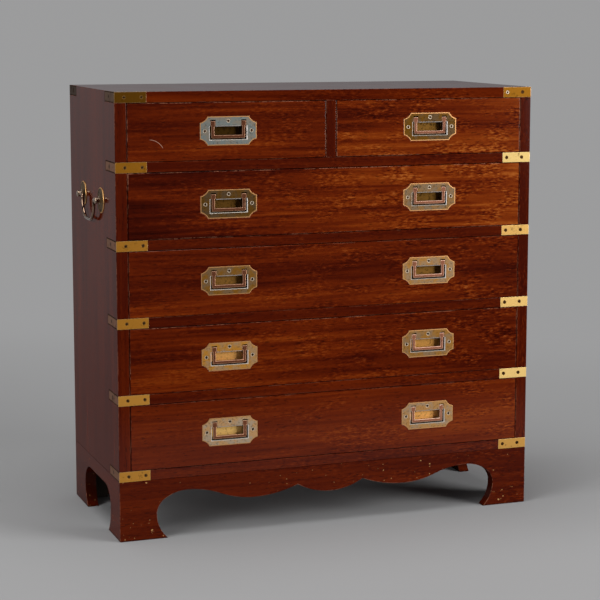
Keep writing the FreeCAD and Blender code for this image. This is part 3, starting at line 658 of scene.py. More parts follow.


# %% Polished mahogany
# A grey veil on what faces up: partly milky polish, partly a painted reflection of the backdrop
BLOOM_AND_REFLECTION = (0.138, 0.128, 0.132)
BLOOM_AND_REFLECTION_PATCHES = 0.3
LOW_EDGES = (95 * MM, 85 * MM)
# How dark the faces that look down are painted, as painted shade under an edge
UNDER_SHADE = 0.95
END_DARKNESS = 0.85
DULL_END = 0.3
END_ON = (0.75, 0.9)
FACING_UP = (0.8, 0.97)
FACING_DOWN = (-0.15, -0.5)
OPEN_PORES = (0.58, 0.75)
POLISH_ROUGH = 0.10
WOOD_ROUGH = 0.45
WOOD_RELIEF = 0.05 * MM


def mahogany(name, axis, offset, tone, figure, fire_and_painted_light, gloss, wear=0.0, chips=0.0, bloom=0.0, sheen=0.0,
             scratched=()):
    """Polished mahogany with its grain along an axis.

    Figure is how strong its marks are, and fire_and_painted_light how much brighter it grows a
    metre to the right, partly the board's own tone and partly painted light from the right.
    Gloss is its polish, to which sheen adds higher up. Wear is for edges only, and chips for the
    base. The bloom is a grey veil on what faces up, partly milky polish and partly a
    painted reflection of the backdrop, and scratched says where a scratch lies.
    """
    finish = Finish(name, Coat_Roughness=POLISH_ROUGH, Specular_IOR_Level=0.0)
    colour, flecks, pores, patches = grain(finish, axis, offset, tone, figure, fire_and_painted_light)
    z = finish.split(finish.place)[2]
    facing = finish.split(finish.facing)
    across_end = abs(facing["xyz".index(axis)]).rise(*END_ON)
    colour = finish.blend(across_end * END_DARKNESS, colour, END_GRAIN)
    rubbed = across_end * DULL_END
    # What faces up is veiled grey, partly milky polish and partly a painted reflection of the backdrop
    if bloom:
        haze_and_reflection = facing[2].rise(*FACING_UP) * (patches.swing(BLOOM_AND_REFLECTION_PATCHES) + bloom)
        colour = finish.blend(haze_and_reflection, colour, BLOOM_AND_REFLECTION)
    if wear and chips:
        rubbed = rub(finish, offset, wear) * z.rise(*LOW_EDGES)
        colour = finish.blend(rubbed, colour, RUBBED)
    elif wear:
        rubbed = rub(finish, offset, wear)
        # Faces that look down are painted dark towards the pore colour: painted shade under the edge
        under = facing[2].rise(*FACING_DOWN)
        colour = finish.blend(rubbed, colour, RUBBED)
        colour = finish.blend(under * UNDER_SHADE, colour, PORE)
        rubbed = (rubbed + under).least(1)
    if chips:
        knocked = knock(finish, offset, z, chips)
        rubbed = (rubbed + knocked).least(1)
        colour = finish.blend(knocked, colour, CHIPPED)
        # The lowest few millimetres are painted dark: a painted contact shadow where the base meets the floor
        colour = finish.blend(z.rise(*FLOOR_SHADOW_BAND), colour, END_GRAIN)
    if scratched:
        colour = finish.blend(scratch(finish, *scratched), colour, SCRATCHED)
    finish.feed("Base Color", colour)
    finish.feed("Coat Weight", (1 - rubbed) * (z * z * sheen + gloss if sheen else gloss))
    finish.feed("Roughness", WOOD_ROUGH + flecks.swing(0.2))
    finish.bump(flecks.swing(0.5) - pores.rise(*OPEN_PORES), WOOD_RELIEF)
    return finish


# %% Lay the polish on every board of the case and the base
BROKEN_EDGE = 0.7 * MM
EDGE_TONE = -0.12
EDGE_FINISH = 1
FACE_CHIPS = 0.7
LONGEST_OFFSET = 40
GRAIN_OFFSETS = random.Random(7)


def polish(node, slot, axis, tone=0.0, figure=1.0, fire_and_painted_light=0.0, wear=0.5, gloss=0.35, chips=0.0, **marks):
    """Take a board over, polish its faces, and break its edges and wear them."""
    offset = GRAIN_OFFSETS.uniform(0, LONGEST_OFFSET)
    face = mahogany("mahogany_" + node, axis, offset, tone, figure, fire_and_painted_light, gloss,
                    chips=FACE_CHIPS * chips, **marks)
    edge = mahogany("rubbed_" + node, axis, offset, tone + EDGE_TONE, figure, fire_and_painted_light, gloss, wear, chips)
    piece = break_edges(take_over(node, "polished_" + node, face, edge), BROKEN_EDGE, EDGE_FINISH)
    print(piece.name, "has", len(piece.data.polygons), "faces")
    stand_in(piece, node)


for board, tone in (("side_left", -0.095), ("side_right", -0.13)):
    polish(board, "case_mahogany", "z", tone, 0.5, wear=0.45, gloss=0.32, sheen=0.30)
polish("short_drawer_divider", "case_mahogany", "z", -0.12, 0.5)
# The top board's grey veil is partly a painted reflection of the backdrop
polish("top_board", "case_mahogany", "x", -0.03, 0.7, wear=0.8, gloss=0.05, bloom=0.88)
for number in (1, 2, 3, 4):
    polish(f"drawer_rail_{number}", "case_mahogany", "x", -0.11, 0.6, wear=0.3)
polish("bottom_board", "case_mahogany", "x", -0.03, 0.6, wear=0.2)
for board, chips in (("front_apron", 0.9), ("rear_feet", 0.4)):
    polish(board, "base_mahogany", "x", -0.10, 0.5, -0.07, wear=0.9, gloss=0.15, chips=chips)
for board in ("side_apron_left", "side_apron_right"):
    polish(board, "base_mahogany", "y", -0.10, 0.4, wear=0.9, gloss=0.34, chips=0.35)

# %% Polish the drawer fronts
# A front's tone, its figure, how much brighter it grows to the right (partly painted light), and its wear
FRONTS = {"short_drawer_left_front": (0.0, 1.0, 0.15, 0.7),
          "short_drawer_right_front": (-0.01, 1.3, 0.14, 1.0),
          "long_drawer_1_front": (0.04, 1.3, 0.70, 1.0), "long_drawer_2_front": (-0.05, 1.0, -0.13, 0.8),
          "long_drawer_3_front": (-0.01, 1.0, 0.04, 0.7), "long_drawer_4_front": (0.06, 0.7, 0.10, 0.3)}
# A scratch's place across and up, and its radius
SCRATCHES = {"short_drawer_left_front": (-323 * MM, 655 * MM, 27.2 * MM)}

for board, looks in FRONTS.items():
    polish(board, "drawer_mahogany", "x", *looks, scratched=SCRATCHES.get(board, ()))

# %% [markdown]
# ## Linings and carcass wood
#
# Nobody polishes the inside. Drawer sides, backs and bottoms are a pale cedar, planed and left
# bare. The runners, the stops, the divider's guide and the back boards are pine that has gone brown
# with dust, and the glue blocks behind the base are nearly black, partly dirt and partly painted
# shade in the dark corners there. These parts keep the shapes that they came with, and only get a
# finish.

# %% Bare wood
RING_WIDTH = 0.016
STREAK_WIDTH = 0.0022
DUST_SIZE = 0.16
DUST_CLOUDS = (0.45, 0.75)
DUST_TONE = 0.45


def bare_wood(name, axis, pale, dark, offset):
    """Planed wood with its grain along an axis, and dust in clouds."""
    finish = Finish(name, Specular_IOR_Level=0.25)
    rings = finish.noise(along_axis(axis, 0.9, RING_WIDTH), 3.0, 0.5, offset)
    streaks = finish.noise(along_axis(axis, 0.12, STREAK_WIDTH), 3.0, 0.6, offset)
    dust = finish.noise(even(DUST_SIZE), 3.0, 0.6, offset)
    colour = finish.ramp(rings.swing(1.1) + streaks.swing(0.5) + 0.5, (0.2, dark), (0.8, pale))
    dusty = [DUST_TONE * part for part in dark]
    colour = finish.blend(dust.rise(*DUST_CLOUDS) * 0.45, colour, dusty)
    finish.feed("Base Color", colour)
    finish.feed("Roughness", 0.62 + streaks.swing(0.3))
    finish.bump(streaks, 0.15 * MM)
    return finish


# %% Bare wood for the parts inside
CEDAR = ((0.40, 0.20, 0.095), (0.25, 0.10, 0.042))
PINE = ((0.33, 0.185, 0.080), (0.19, 0.088, 0.034))
DIRTY_SHADED_PINE = ((0.040, 0.026, 0.016), (0.018, 0.011, 0.007))


def dress(finish, *names):
    """Give CAD nodes a finish."""
    for name in names:
        for slot in nodes[name].material_slots:
            slot.material = finish.material
    print(finish.material.name, "on", len(names), "parts")


dress(bare_wood("cedar_sides", "y", *CEDAR, 4.0), *(name for name in nodes if name.endswith("_box")))
dress(bare_wood("cedar_bottoms", "x", *CEDAR, 9.0), *(name for name in nodes if name.endswith("_bottom")))
dress(bare_wood("pine_across", "x", *PINE, 1.0), "back_boards", "drawer_stops")
# Glue blocks nearly black: partly dirt, partly painted shade in the dark corners behind the base
dress(bare_wood("pine_under_dirt", "x", *DIRTY_SHADED_PINE, 3.0), "glue_blocks")
dress(bare_wood("pine_fore_and_aft", "y", *PINE, 2.0), "drawer_runners", "divider_guide")

# %% [markdown]
# ## Brass
#
# Brass is a metal, so its colour is the colour of what it mirrors. Old brass is never one tone:
# tarnish lies in clouds, olive to brown, and fingers keep the high places bright. The clouds mix
# two metal colours and make the surface duller where they lie, and a fine noise scratches it.
# Tarnish itself isn't metal, so old brass is made only partly metallic, which keeps it from
# mirroring the dark room.

# %% A brass finish
SPECK_SIZE = 0.0030
SPECK_SHARE = 0.35
CLEAN_UP_TO = 0.72
TARNISHED_FROM = 0.94
DULLNESS_REACH = 0.44
BRASS_RELIEF = 0.04 * MM
LIGHTER = 1.25
DARKER = 0.55


def brass(name, bright, dull, offset, dullness=0.5, rough=0.48, cloud_size=0.020, metal=0.8, coat=0.0):
    """Brass with clouds of tarnish. Dullness is the share of it that is tarnished."""
    finish = Finish(name, Metallic=metal, Specular_IOR_Level=0.0, Coat_Weight=coat, Coat_Roughness=0.06)
    cloud = finish.noise(even(cloud_size), 3.0, 0.6, offset)
    speck = finish.noise(even(SPECK_SIZE), 1.0, 0.5, offset)
    reach = DULLNESS_REACH * dullness
    tarnish = (cloud + speck.swing(SPECK_SHARE)).rise(CLEAN_UP_TO - reach, TARNISHED_FROM - reach)
    finish.feed("Base Color", finish.blend(tarnish, bright, dull))
    finish.feed("Roughness", rough + tarnish * 0.12 + speck.swing(0.08))
    finish.bump(cloud, BRASS_RELIEF)
    return finish


def tint(colour, share):
    """A darker or lighter tone of a colour."""
    return [min(1.0, share * part) for part in colour]


def mottled(name, colour, offset, dullness, cloud_size):
    """Brass of one tone, with clouds of a lighter and a darker one."""
    return brass(name, tint(colour, LIGHTER), tint(colour, DARKER), offset, dullness, 0.47, cloud_size)


# %% [markdown]
# ## Screws
#
# Every piece of brass is held by slotted countersunk screws, filed flush. One screw is a cone with
# a slot cut across its head. Its face is inset, since only the rim of a head stays bright and dirt
# fills the rest. The slots of hand-driven screws stand at any angle, so each copy is turned by
# chance before it is moved to its hole, and all the screws of one part are joined.

# %% Cut, copy and join
def carve(piece, tool):
    """Cut a closed piece out of another, and throw it away."""
    cut = piece.modifiers.new("carve", "BOOLEAN")
    cut.operation = "DIFFERENCE"
    cut.object = tool
    apply_all(piece)
    bpy.data.objects.remove(tool)


def twin(piece, name, shift):
    """A copy with a mesh of its own, moved."""
    other = piece.copy()
    other.data = piece.data.copy()
    other.name = name
    other.data.transform(Matrix.Translation(shift))
    scene.collection.objects.link(other)
    return other


def join(pieces, name):
    """Several pieces made one."""
    take(pieces[0])
    for piece in pieces:
        piece.select_set(True)
    bpy.ops.object.join()
    pieces[0].name = name
    return pieces[0]


# %% One countersunk screw, facing forwards
SCREW_SIDES = 20
SCREW_TAPER = 0.55
SCREW_DEPTH = 0.04 * MM
SCREW_RING = 1.1 * MM
SLOT_WIDTH = 0.9 * MM
SLOT_DEPTH = 0.55 * MM
RING, SLOT, DARK, GOLD = range(4)

screw_pale = brass("screw_pale", (0.60, 0.49, 0.37), (0.38, 0.28, 0.19), 11.0, 0.3, 0.45, metal=0.6)
screw_slot = Finish("screw_slot", Roughness=0.8, Specular_IOR_Level=0.0)
screw_slot.feed("Base Color", screw_slot.blend(screw_slot.noise(even(0.001)),
                                               (0.012, 0.008, 0.005), (0.035, 0.022, 0.012)))
screw_dark = brass("screw_dark", (0.060, 0.025, 0.008), (0.02, 0.008, 0.003), 12.0, 0.4, 0.45, metal=0.6)
screw_gold = brass("screw_gold", (0.22, 0.115, 0.035), (0.12, 0.055, 0.016), 13.0, 0.4, 0.45, metal=0.6)


def make_cone(name, top, bottom, length, begin):
    """A cone along Y with its wide end in front, where it begins."""
    select_none()
    bpy.ops.mesh.primitive_cone_add(vertices=SCREW_SIDES, radius1=bottom, radius2=top, depth=length)
    cone = bpy.context.object
    cone.name = name
    cone.data.transform(Matrix.Rotation(math.pi / 2, 4, "X"))
    cone.data.transform(Matrix.Translation((0, begin + length / 2, 0)))
    return cone


def make_screw(radius, length):
    """A flat head a little below the brass, with a ring round it and a slot across it."""
    screw = make_cone("screw", radius, radius * SCREW_TAPER, length, SCREW_DEPTH)
    give(screw, screw_pale, screw_slot, screw_dark, screw_gold)
    inset(screw, lambda spot: spot.y < SCREW_DEPTH + SAME_SPOT, SCREW_RING)
    for face in screw.data.polygons:
        face.material_index = DARK if face.select else RING
    select_none()
    bpy.ops.mesh.primitive_cube_add(size=1)
    slot = bpy.context.object
    slot.data.transform(Matrix.Diagonal((3 * radius, 2 * SLOT_DEPTH, SLOT_WIDTH, 1)))
    give(slot, screw_pale, screw_slot)
    for face in slot.data.polygons:
        face.material_index = SLOT
    carve(screw, slot)
    return screw


strap_screw = make_screw(3.1 * MM, 1.9 * MM)
plate_screw = make_screw(3.3 * MM, 1.8 * MM)
print("a screw has", len(strap_screw.data.polygons), "faces")

# %% Its hole, and how it is driven
HOLE_BEGIN = -0.1 * MM
HOLE_LENGTH = 2.2 * MM
strap_hole = make_cone("strap_hole", 3.3 * MM, 1.9 * MM, HOLE_LENGTH, HOLE_BEGIN)
plate_hole = make_cone("plate_hole", 3.5 * MM, 2.0 * MM, HOLE_LENGTH, HOLE_BEGIN)
print("a hole is", round((HOLE_LENGTH + HOLE_BEGIN) / MM, 1), "mm deep")


def drive(piece, screw, hole, places):
    """Countersink a piece and set a screw in each hole. A place is a point and a turn about Z."""
    chance = random.Random(len(places))
    holes, screws = [], []
    for spot, turn in places:
        stand = Matrix.Translation(spot) @ Matrix.Rotation(turn, 4, "Z")
        for model, made, name in ((hole, holes, "hole"), (screw, screws, piece.name + "_screws")):
            copy = twin(model, name, (0, 0, 0))
            copy.data.transform(stand @ Matrix.Rotation(chance.uniform(0, math.pi), 4, "Y"))
            made.append(copy)
    carve(piece, join(holes, "holes"))
    together = join(screws, piece.name + "_screws")
    print(len(places), "screws in", piece.name)
    return together


# %% [markdown]
# ## Corner straps
#
# The straps are let into the wood until they are flush, so only their edges and screws show. Each
# has tarnished by itself: the top pair is nearly brown, and the others are golden, more so on the
# right, where the paler, brighter tone is partly a painted reflection of the lamp at the right. So
# each front leg is a mix of a brown brass and a pale one. Round the corner on the sides they have
# gone as dark as the wood. Dirt fills the joint there and creeps in from it, so the side legs get
# a dirty margin, which is an inset.

# %% Finishes of the straps
BROWN_BRASS = (1.0, 0.41, 0.035)
PALE_BRASS = (1.0, 0.71, 0.26)
# For each front leg from the top down: how bright it is, and how pale, from 0 to 1. On the right
# both are partly a painted reflection of the lamp at the right.
STRAP_TONES_AND_REFLECTIONS = {"left": ((0.10, 0.0), (0.28, 0.0), (0.38, 0.1), (0.41, 0.1), (0.50, 0.2), (0.46, 0.2)),
               "right": ((0.15, 0.0), (0.40, 1.0), (0.43, 0.6), (0.54, 0.8), (0.61, 0.9), (0.44, 0.4))}
STRAP_LEG = brass("brass_strap_leg", (0.198, 0.104, 0.067), (0.10, 0.049, 0.032), 21.0, metal=0.3)
# The pale rim on the bevels is partly worn brass and partly a painted highlight along the edges
STRAP_RIM = brass("brass_strap_rim", (1.0, 0.68, 0.34), (0.55, 0.32, 0.12), 17.0, 0.3, 0.42)
STRAP_DIRT = brass("brass_strap_dirt", (0.035, 0.020, 0.012), (0.012, 0.007, 0.005), 18.0, metal=0.1)
TOP_LEG = brass("brass_top_leg", (0.112, 0.070, 0.048), (0.056, 0.033, 0.023), 22.0, metal=0.3)


def strap_tone(level, pale):
    """A tone between brown and pale brass."""
    return [level * ((1 - pale) * brown + pale * straw) for brown, straw in zip(BROWN_BRASS, PALE_BRASS)]


print(sum(len(legs) for legs in STRAP_TONES_AND_REFLECTIONS.values()), "tones for the front legs of the straps")

# %% Take the front straps over, with dirt round their side legs
LEG, RIM, DIRT, TOP, FIRST_TONE = range(5)
STRAP_OFFSETS = {"left": 3, "right": 43}
DIRT_WIDTH = 1.7 * MM
STRAIGHT_ON = 0.9


def dirty_margin(piece, wanted, finish_number):
    """Dirt gathers along the outline of the faces whose middle passes a test."""
    inset(piece, wanted, DIRT_WIDTH)
    for face in piece.data.polygons:
        if wanted(face.center) and not face.select:
            face.material_index = finish_number


straps = take_over("front_straps", "front_corner_straps", STRAP_LEG, STRAP_RIM, STRAP_DIRT, TOP_LEG)
levels = sorted({round(face.center.z, 4) for face in straps.data.polygons
                 if face.normal.y < -STRAIGHT_ON and face.center.x < 0}, reverse=True)
# Each front leg's tone, on the right partly a painted reflection of the lamp
for number, pair in enumerate(zip(*STRAP_TONES_AND_REFLECTIONS.values()), 1):
    for side, looks in zip(STRAP_OFFSETS, pair):
        offset = STRAP_OFFSETS[side] + 5 * number
        give(straps, mottled(f"brass_strap_{side}_{number}", strap_tone(*looks), offset, 0.35, 0.014))
left_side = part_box("front_straps")[0].x
right_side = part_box("front_straps")[1].x
front = cad_low.y
dirty_margin(straps, lambda spot: abs(spot.x) > right_side - SAME_SPOT, DIRT)
print("straps at", [round(level / MM) for level in levels], "mm")

# %% Drive their screws
FRONT_SCREWS = (16.5 * MM, 46.0 * MM)
SIDE_SCREW = 40.0 * MM
RING_REACH = 5 * MM
INNER_SCREW_FROM = 40 * MM


def left_and_right(inwards, y, level, turn):
    """A place for a screw near each side. A quarter turn makes both face outwards."""
    return [((left_side + inwards, y, level), -turn), ((right_side - inwards, y, level), turn)]


places = []
for level in levels:
    for reach in FRONT_SCREWS:
        places += left_and_right(reach, front, level, 0)
    places += left_and_right(0, front + SIDE_SCREW, level, math.pi / 2)
strap_screws = drive(straps, strap_screw, strap_hole, places)


def stays_pale(spot):
    """Of all the rings, only that of the inner screw in the top strap at the right stays pale."""
    return spot.z > levels[0] - RING_REACH and 0 < spot.x < right_side - INNER_SCREW_FROM


for face in strap_screws.data.polygons:
    spot = face.center
    if face.material_index == RING and not stays_pale(spot):
        face.material_index = GOLD if spot.x < 0 and spot.y < front + MM else DARK
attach(strap_screws, nodes["front_straps"]["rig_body"])

# %% Tone every strap and break its edges
STRAP_EDGE = 0.8 * MM
FRONT_DEPTH = 2 * MM
SCREW_REACH = 4.6 * MM


def nearest_strap(spot):
    return min(range(len(levels)), key=lambda number: abs(levels[number] - spot.z))


def tone_number(spot):
    """The finish of the front leg that a spot lies on."""
    return FIRST_TONE + 2 * nearest_strap(spot) + int(spot.x > 0)


def near_screw(spot):
    return any((spot - Vector(place)).length < SCREW_REACH for place, _ in places)


for face in straps.data.polygons:
    if face.material_index == DIRT:
        continue
    on_front = face.center.y < front + FRONT_DEPTH and abs(face.normal.x) < STRAIGHT_ON
    on_side = TOP if nearest_strap(face.center) == 0 else LEG
    face.material_index = tone_number(face.center) if on_front else on_side
break_edges(straps, STRAP_EDGE, RIM)
for face in straps.data.polygons:
    if face.material_index == RIM and face.center.y > front + MM:
        face.material_index = DIRT
    elif face.material_index == RIM and near_screw(face.center):
        face.material_index = tone_number(face.center)
stand_in(straps, "front_straps")
print("the front straps have", len(straps.data.polygons), "faces")

# %% Rear straps
REAR_LEG = brass("brass_rear_leg", (0.062, 0.044, 0.034), (0.026, 0.018, 0.014), 23.0, metal=0.2)
REAR_DIRT = 1
REAR_SIDE_SCREW = 32.0 * MM
REAR_BACK_SCREW = 22.0 * MM

rear = take_over("rear_straps", "rear_corner_straps", REAR_LEG, STRAP_DIRT)
rear_low, rear_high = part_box("rear_straps")
rear_level = (rear_low.z + rear_high.z) / 2
dirty_margin(rear, lambda spot: abs(spot.x) > right_side - SAME_SPOT, REAR_DIRT)
rear_places = (left_and_right(0, rear_high.y - REAR_SIDE_SCREW, rear_level, math.pi / 2)
               + left_and_right(REAR_BACK_SCREW, rear_high.y, rear_level, math.pi))
rear_screws = drive(rear, strap_screw, strap_hole, rear_places)
for face in rear_screws.data.polygons:
    face.material_index = max(face.material_index, SLOT)
break_edges(rear, STRAP_EDGE, REAR_DIRT)
stand_in(rear, "rear_straps")
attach(rear_screws, nodes["rear_straps"]["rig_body"])

# %% [markdown]
# ## Pull plates
#
# A pull is a plate with a cup behind it, cast in one. Its face is grey or olive with old lacquer,
# its rim is filed to bare gold, and the lips of the window are silvery, partly as painted highlight;
# the lip that faces up is a darker copy, painted shade against the lamps above. The cup behind is
# dirty where no finger reaches, and its walls are nearly black, partly dirt and partly painted shade
# in the recess. The first plate is worked in edit mode: its face is inset to mark off the rim, and
# the faces are given their finishes by where they lie. All ten are copies of it, each with a face
# and a cup of its own tone.

# %% Finishes of a pull plate
PLATE_RIM = brass("brass_plate_rim", (0.62, 0.31, 0.12), (0.30, 0.14, 0.05), 31.0, 0.3, 0.42)
# The lips' silvery tone is partly a painted highlight
PLATE_LIP = brass("brass_plate_lip", (0.80, 0.76, 0.72), (0.50, 0.46, 0.40), 33.0, 0.3, 0.42, metal=0.6)
# The lip that faces up is a darker copy: painted shade against the lamps above
SHADED_LOW_LIP = brass("brass_low_lip", (0.42, 0.39, 0.34), (0.26, 0.22, 0.17), 34.0, 0.3, 0.42, metal=0.6)
# Nearly black for the cup walls: partly dirt, partly painted shade in the recess
CUP_DIRT_AND_SHADE = brass("brass_cup_dirt", (0.020, 0.011, 0.005), (0.008, 0.005, 0.003), 35.0, metal=0.2)
PLATE_SILVER = (0.52, 0.50, 0.43)
PLATE_GOLD = (0.70, 0.34, 0.085)
PLATE_PATCHES = (0.40, 0.60)
PLATE_SPECKS = (0.52, 0.70)
SPECK_DEPTH = 0.65
SPECK_LEVEL = 0.35
# How much more golden a patch is than the plate, and how much brighter
GOLDEN_PATCH = (0.15, 1.2)
SILVERY_PATCH = (-0.25, 1.1)
# Green and blue of a cup's back as shares of its red: the least, and how much more when clean
CUP_GREEN = (0.48, 0.03)
CUP_BLUE = (0.085, 0.075)
print("finishes for the rim, the lips and the dirt of a pull")


def plate_tone(gold, level):
    """A tone between silver and gold."""
    return [level * max(0, (1 - gold) * grey + gold * warm) for grey, warm in zip(PLATE_SILVER, PLATE_GOLD)]


def plate_face(name, gold, level, offset):
    """The face of a plate, in golden and silvery patches: how golden, from 0 to 1, and how bright."""
    finish = Finish("brass_" + name, Metallic=0.8, Specular_IOR_Level=0.0)
    patches = finish.noise(even(0.016), 3.0, 0.6, offset)
    specks = finish.noise(even(0.0035), 2.0, 0.6, offset + 1)
    golden, silvery = (plate_tone(gold + more, brighter * level)
                       for more, brighter in (GOLDEN_PATCH, SILVERY_PATCH))
    colour = finish.blend(patches.rise(*PLATE_PATCHES), golden, silvery)
    speck_tone = plate_tone(gold, SPECK_LEVEL * level)
    colour = finish.blend(specks.rise(*PLATE_SPECKS) * SPECK_DEPTH, colour, speck_tone)
    finish.feed("Base Color", colour)
    finish.feed("Roughness", 0.46 + specks.swing(0.1))
    finish.bump(specks, BRASS_RELIEF)
    return finish


def cup_back(name, level, offset):
    """The back of a cup. The lower its level, the browner."""
    green, blue = (least + more * level for least, more in (CUP_GREEN, CUP_BLUE))
    return mottled("brass_cup_" + name, (level, level * green, level * blue), offset, 0.5, 0.005)


# %% Work the first plate
FIRST_PLATE = "short_drawer_left_pull_plate"
RIM_WIDTH = 1.4 * MM
PLATE_EDGE = 0.35 * MM
PLATE_SCREWS = ((-41.3 * MM, 0), (41.3 * MM, 0), (0, 16.6 * MM))
BAND_ACROSS = 36 * MM
BAND_UP = 20.5 * MM
PLATE_BACK = 2.1 * MM
FACE, EDGE, LIP, CUP, DEEP, LOW = range(6)

plate_low, plate_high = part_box(FIRST_PLATE)
plate_size = plate_high - plate_low
plate_spot = Vector(((plate_low.x + plate_high.x) / 2, plate_low.y, (plate_low.z + plate_high.z) / 2))
first_plate = take_over(FIRST_PLATE, "first_plate", PLATE_LIP, PLATE_RIM, PLATE_LIP, CUP_DIRT_AND_SHADE, CUP_DIRT_AND_SHADE,
                        SHADED_LOW_LIP)
inset(first_plate, lambda spot: spot.y < plate_spot.y + SAME_SPOT, RIM_WIDTH)
for face in first_plate.data.polygons:
    place = face.center - plate_spot
    in_rim = abs(place.x) > BAND_ACROSS or abs(place.z) > BAND_UP
    if place.y < SAME_SPOT:
        face.material_index = EDGE if in_rim and not face.select else FACE
    # The cup's walls take the near-black finish: partly dirt, partly painted shade
    elif place.y > PLATE_BACK:
        face.material_index = CUP if face.normal.y < -STRAIGHT_ON else DEEP
    elif in_rim:
        face.material_index = EDGE
    # Lips that face up take the darker copy, as painted shade
    elif -STRAIGHT_ON < face.normal.y < -0.5:
        face.material_index = LOW if face.normal.z > 0.5 else LIP
    else:
        face.material_index = DEEP
holes = [(plate_spot + Vector((across, 0, up)), 0) for across, up in PLATE_SCREWS]
first_screws = drive(first_plate, plate_screw, plate_hole, holes)
break_edges(first_plate, PLATE_EDGE)
print("a finished plate has", len(first_plate.data.polygons), "faces")

# %% Copy it to every pull
# For each pull of a drawer: how golden its plate is, how bright it is, and how bright its cup is
PULL_TONES = {"short_drawer_left": ((0.0, 0.37, 0.041),), "short_drawer_right": ((1.0, 0.127, 0.12),),
              "long_drawer_1": ((0.95, 0.15, 0.108), (0.75, 0.27, 0.098)),
              "long_drawer_2": ((0.95, 0.305, 0.228), (0.85, 0.435, 0.158)),
              "long_drawer_3": ((0.95, 0.66, 0.74), (0.9, 0.37, 0.42)),
              "long_drawer_4": ((0.6, 0.76, 1.00), (0.75, 0.56, 0.70))}

for drawer, pulls in PULL_TONES.items():
    node = drawer + ("_pull_plate" if len(pulls) == 1 else "_pull_plates")
    low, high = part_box(node)
    spots = [low.x + plate_size.x / 2, high.x - plate_size.x / 2][:len(pulls)]
    for number, (spot, (gold, level, cup_level)) in enumerate(zip(spots, pulls)):
        name = f"{drawer}_plate_{number + 1}"
        shift = Vector((spot, low.y, (low.z + high.z) / 2)) - plate_spot
        offset = 40 + 3 * number + shift.z * 50
        plate = twin(first_plate, name, shift)
        plate.data.materials[FACE] = plate_face(name, gold, level, offset).material
        plate.data.materials[CUP] = cup_back(name, cup_level, offset).material
        stand_in(plate, node)
        screws = twin(first_screws, name + "_screws", shift)
        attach(screws, nodes[node]["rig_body"])
print(sum(len(pulls) for pulls in PULL_TONES.values()), "plates")

# %% [markdown]
# ## Bails
#
# The little handle in each cup is a square bar with square knuckles. Its brass has gone copper red,
# and its edges are bright, partly where every hand touches them and partly as painted highlight. So
# the bevel gets a brighter finish. The low bails are brighter than the high ones, and the right ones
# are paler and brighter as painted light from the lamp at the right.

# %% Bails with bright edges
# The tones of a bail's faces and of its edges; the right ones are paler as painted light
BAIL_TONES = {"left": ((0.115, 0.040, 0.019), (0.62, 0.34, 0.21)),
              "right": ((0.185, 0.072, 0.040), (0.66, 0.41, 0.30))}
BAIL_EDGE = 0.8 * MM
FIRST_BAIL = "short_drawer_left_bail"
HIGH_LEVEL = 0.8
BRIGHTER_PER_METRE = 1.1

bails = sorted(name for name in nodes if "bail" in name)
first_bail = take_over(FIRST_BAIL, "first_bail", screw_gold, screw_pale)
break_edges(first_bail, BAIL_EDGE, EDGE_FINISH)
bail_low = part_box(FIRST_BAIL)[0]
for number, node in enumerate(bails):
    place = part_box(node)[0]
    shift = place - bail_low
    bail = twin(first_bail, "worn_" + node, shift)
    level = HIGH_LEVEL - BRIGHTER_PER_METRE * shift.z
    # Right bails take the paler tones: painted light from the lamp at the right
    tones = BAIL_TONES["left" if place.x < 0 else "right"]
    for slot, (part, tone) in enumerate(zip(("face", "edge"), tones)):
        finish = mottled(f"brass_{node}_{part}", tint(tone, level), number, 0.4, 0.006)
        bail.data.materials[slot] = finish.material
    stand_in(bail, node)
print(len(bails), "bails")

# %% [markdown]
# ## Carrying handles
#
# A carrying handle is a round bar that is bent four times: it comes out of one post, goes down,
# along and up, and ends in the other. A ring is drawn out for each straight and spun round for each
# bend, just as a smith bends a bar round a former, and the two ends are closed last.

# %% Bend the bars
HANDLE = brass("brass_handle", (0.27, 0.17, 0.115), (0.095, 0.050, 0.038), 6.0, rough=0.10,
               cloud_size=0.030, metal=1.0)
BAR_SIDES = 20
SHOULDER = 5 * MM
CORNER = 32 * MM
LEG_FROM_TIP = 30 * MM
BEND_STEPS = 10
TIP_EDGE = 0.7 * MM
TIP_STEPS = 3

handle_low, handle_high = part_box("carry_handle_left")
bar_radius = (handle_high.x - handle_low.x) / 2
bar_x = (handle_low.x + handle_high.x) / 2
tip = handle_high.y
leg = tip - LEG_FROM_TIP
pins = handle_high.z - bar_radius
sill = handle_low.z + bar_radius
leg_bend = leg + SHOULDER
sill_bend = leg - CORNER

select_none()
bpy.ops.mesh.primitive_circle_add(vertices=BAR_SIDES, radius=bar_radius, fill_type="NOTHING",
                                  location=(bar_x, tip, pins), rotation=(math.pi / 2, 0, 0))
bar = settle(bpy.context.object)
pick(bar, "VERT", lambda spot: True)
draw_out(0, leg_bend - tip, 0)
bend(1, BEND_STEPS, bar_x, leg_bend, pins - SHOULDER)
draw_out(0, 0, sill + CORNER - pins + SHOULDER)
bend(-1, BEND_STEPS, bar_x, sill_bend, sill + CORNER)
draw_out(0, -2 * sill_bend, 0)
bend(-1, BEND_STEPS, bar_x, -sill_bend, sill + CORNER)
draw_out(0, 0, pins - SHOULDER - sill - CORNER)
bend(1, BEND_STEPS, bar_x, -leg_bend, pins - SHOULDER)
draw_out(0, leg_bend - tip, 0)
for end in (-1, 1):
    pick(bar, "EDGE", lambda spot: end * spot.y > tip - SAME_SPOT)
    bpy.ops.mesh.edge_face_add()
merge_all()
turn_outwards()
heights = [vertex.co.z / MM for vertex in bar.data.vertices]
print("a bar reaches from", round(min(heights), 1), "to", round(max(heights), 1), "mm")

